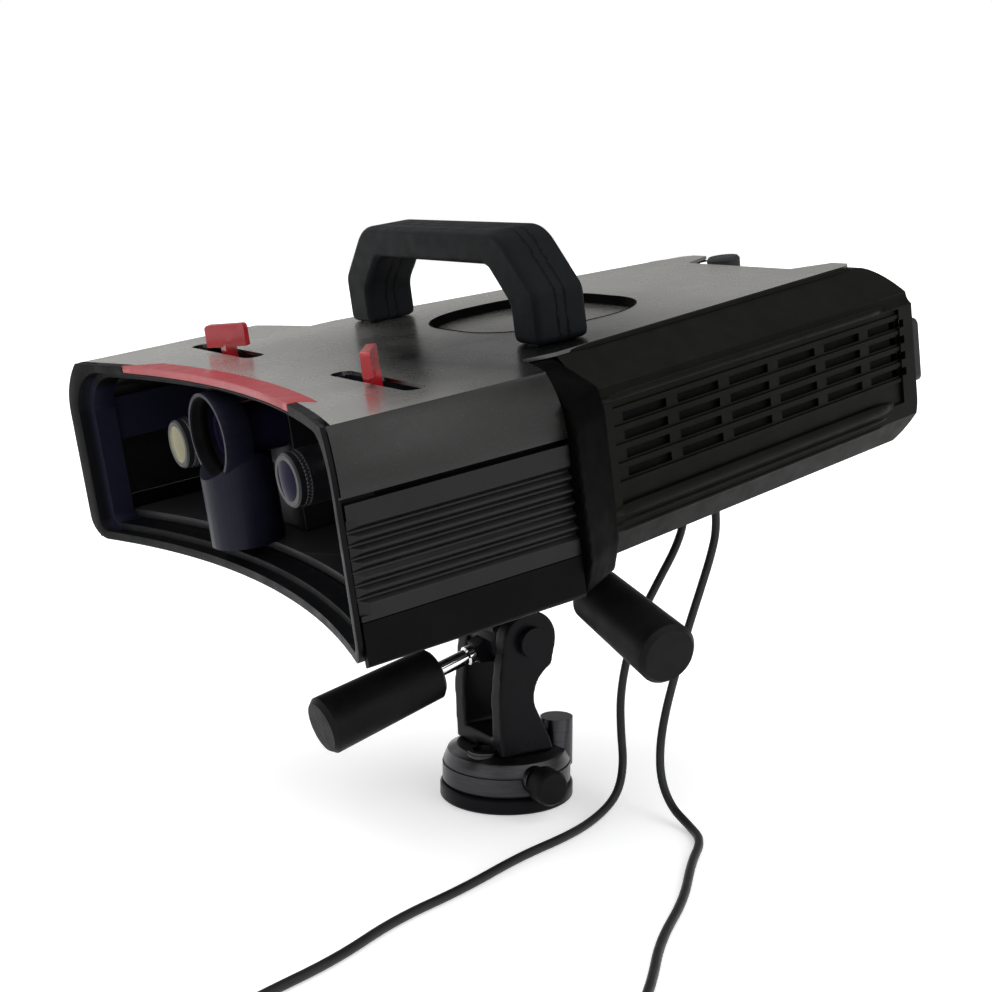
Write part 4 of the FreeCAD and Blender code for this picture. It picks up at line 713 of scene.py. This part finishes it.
mesh = bmesh.new()
rings = [
    [mesh.verts.new(scannerTurn @ millimetres(x, y, recess["top"] - down)) for x, y in recessLoop(inset)]
    for inset, down in ((1.3, 0), (1.8, -0.2), (2.3, 0), (2.3, recess["deep"]), (1.3, recess["deep"]))
]
for first, second in zip(rings, rings[1:] + rings[:1]):
    bridge(mesh, first, second)
finishPiece("recessWallShadow", mesh, "collar", "scanner", smooth=False)

# Carry handle: a rounded loop swept from its outer and inner outlines
grip = {"foot": 109.4, "half": 105, "crease": 137, "top": 168, "topHalf": 76, "leg": 26, "bar": 18,
        "front": 161, "deep": 32}


def filleted(corners, radii, steps=9):
    # Corners of an open path rounded with arcs; every corner gives the same number of points
    points = [Vector(corners[0])]
    for before, corner, after, radius in zip(corners, corners[1:], corners[2:], radii):
        corner = Vector(corner)
        back = (Vector(before) - corner).normalized()
        ahead = (Vector(after) - corner).normalized()
        half = back.angle(ahead) / 2
        reach = radius / math.tan(half)
        middle = corner + (back + ahead).normalized() * radius / math.sin(half)
        first = corner + back * reach - middle
        sweep = math.pi - 2 * half
        turn = 1 if back.x * ahead.y - back.y * ahead.x < 0 else -1
        for number in range(steps):
            points.append(middle + Matrix.Rotation(turn * sweep * number / (steps - 1), 2) @ first)
    return points + [Vector(corners[-1])]


def mirroredPath(right):
    return right + [(-x, z) for x, z in reversed(right)]


outerPath = mirroredPath([
    (grip["half"], grip["foot"]), (grip["half"], grip["crease"]), (grip["topHalf"], grip["top"]),
])
innerHalf = grip["half"] - grip["leg"]
innerPath = mirroredPath([
    (innerHalf, grip["foot"]), (innerHalf, grip["crease"] - 7), (innerHalf - 19, grip["top"] - grip["bar"]),
])
outer = filleted(outerPath, (9, 24, 24, 9))
inner = filleted(innerPath, (12, 12, 12, 12))
mesh = bmesh.new()
columns = []
for out, within in zip(outer, inner):
    corners = ((out, 0), (within, 0), (within, grip["deep"]), (out, grip["deep"]))
    columns.append([
        mesh.verts.new(scannerTurn @ millimetres(spot.x, grip["front"] + back, spot.y))
        for spot, back in corners
    ])
for first, second in zip(columns, columns[1:]):
    bridge(mesh, first, second)
mesh.faces.new(columns[0])
mesh.faces.new(columns[-1])
handle = finishPiece("carryHandle", mesh, "handle", "scanner")
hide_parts("handle_cover")
softEdges(handle, 0.0042, 40, 5)
print("stage: added pieces")

# Studio: floor reach and drop in metres, and how much paler the floor is where it is seen
studio = {"floorReach": 6, "floorDrop": 0.0005, "floorLift": 0.38}
floorMesh = bpy.data.meshes.new("floor")
reach = studio["floorReach"]
corners = [(-reach, -reach, 0), (reach, -reach, 0), (reach, reach, 0), (-reach, reach, 0)]
floorMesh.from_pydata(corners, [], [(0, 1, 2, 3)])
floor = bpy.data.objects.new("floor", floorMesh)
floor.location.z = -studio["floorDrop"]
scene.collection.objects.link(floor)
floorShader = Shader("paleFloor")
floorShader.colour(floorShader.blend(floorShader.noise(3, 2), (0.88, 0.88, 0.88), (0.92, 0.92, 0.92)))
floorShader.fixed(Roughness=0.9, Specular_IOR_Level=0.1, Emission_Color=(1, 1, 1, 1))
# The paler floor is only seen, directly or in gloss and glass, and throws no light on the object
rays = floorShader.nodes.new("ShaderNodeLightPath")
seen = floorShader.math("ADD", rays.outputs["Is Camera Ray"], rays.outputs["Is Glossy Ray"])
seen = floorShader.math("ADD", seen, rays.outputs["Is Transmission Ray"])
floorLift = floorShader.math("MULTIPLY", seen, studio["floorLift"])
floorShader.links.new(floorLift, floorShader.surface.inputs["Emission Strength"])
floorMesh.materials.append(floorShader.material)

# A white backdrop low down and a dim room above it
world = bpy.data.worlds.new("studio")
scene.world = world
world.use_nodes = True
skyNodes = world.node_tree.nodes
skyLinks = world.node_tree.links
direction = skyNodes.new("ShaderNodeTexCoord").outputs["Generated"]
split = skyNodes.new("ShaderNodeSeparateXYZ")
skyLinks.new(direction, split.inputs[0])
ramp = skyNodes.new("ShaderNodeValToRGB")
skyLinks.new(split.outputs["Z"], ramp.inputs["Fac"])
stops = ramp.color_ramp.elements
stops[0].position = 0.115
stops[0].color = (1, 1, 1, 1)
stops[1].position = 0.15
stops[1].color = (0.33, 0.33, 0.33, 1)
overhead = stops.new(0.75)
overhead.color = (0.12, 0.12, 0.12, 1)
skyLinks.new(ramp.outputs["Color"], skyNodes["Background"].inputs["Color"])
skyNodes["Background"].inputs["Strength"].default_value = 1.0


def wideLight(name, lean, around, power, spread):
    # A distant soft light, leaning from overhead towards one side
    light = bpy.data.lights.new(name, "SUN")
    light.energy = power
    light.angle = math.radians(spread)
    lamp = bpy.data.objects.new(name, light)
    scene.collection.objects.link(lamp)
    lamp.rotation_euler = (math.radians(lean), 0, math.radians(around))


wideLight("overheadLight", 8, 200, 1.0, 70)
wideLight("shoulderLight", 58, 124, 1.0, 62)
for number, around in enumerate((298, 10, 82)):
    wideLight(f"ringLight{number}", 50, around, 1.05, 70)
print("stage: studio")
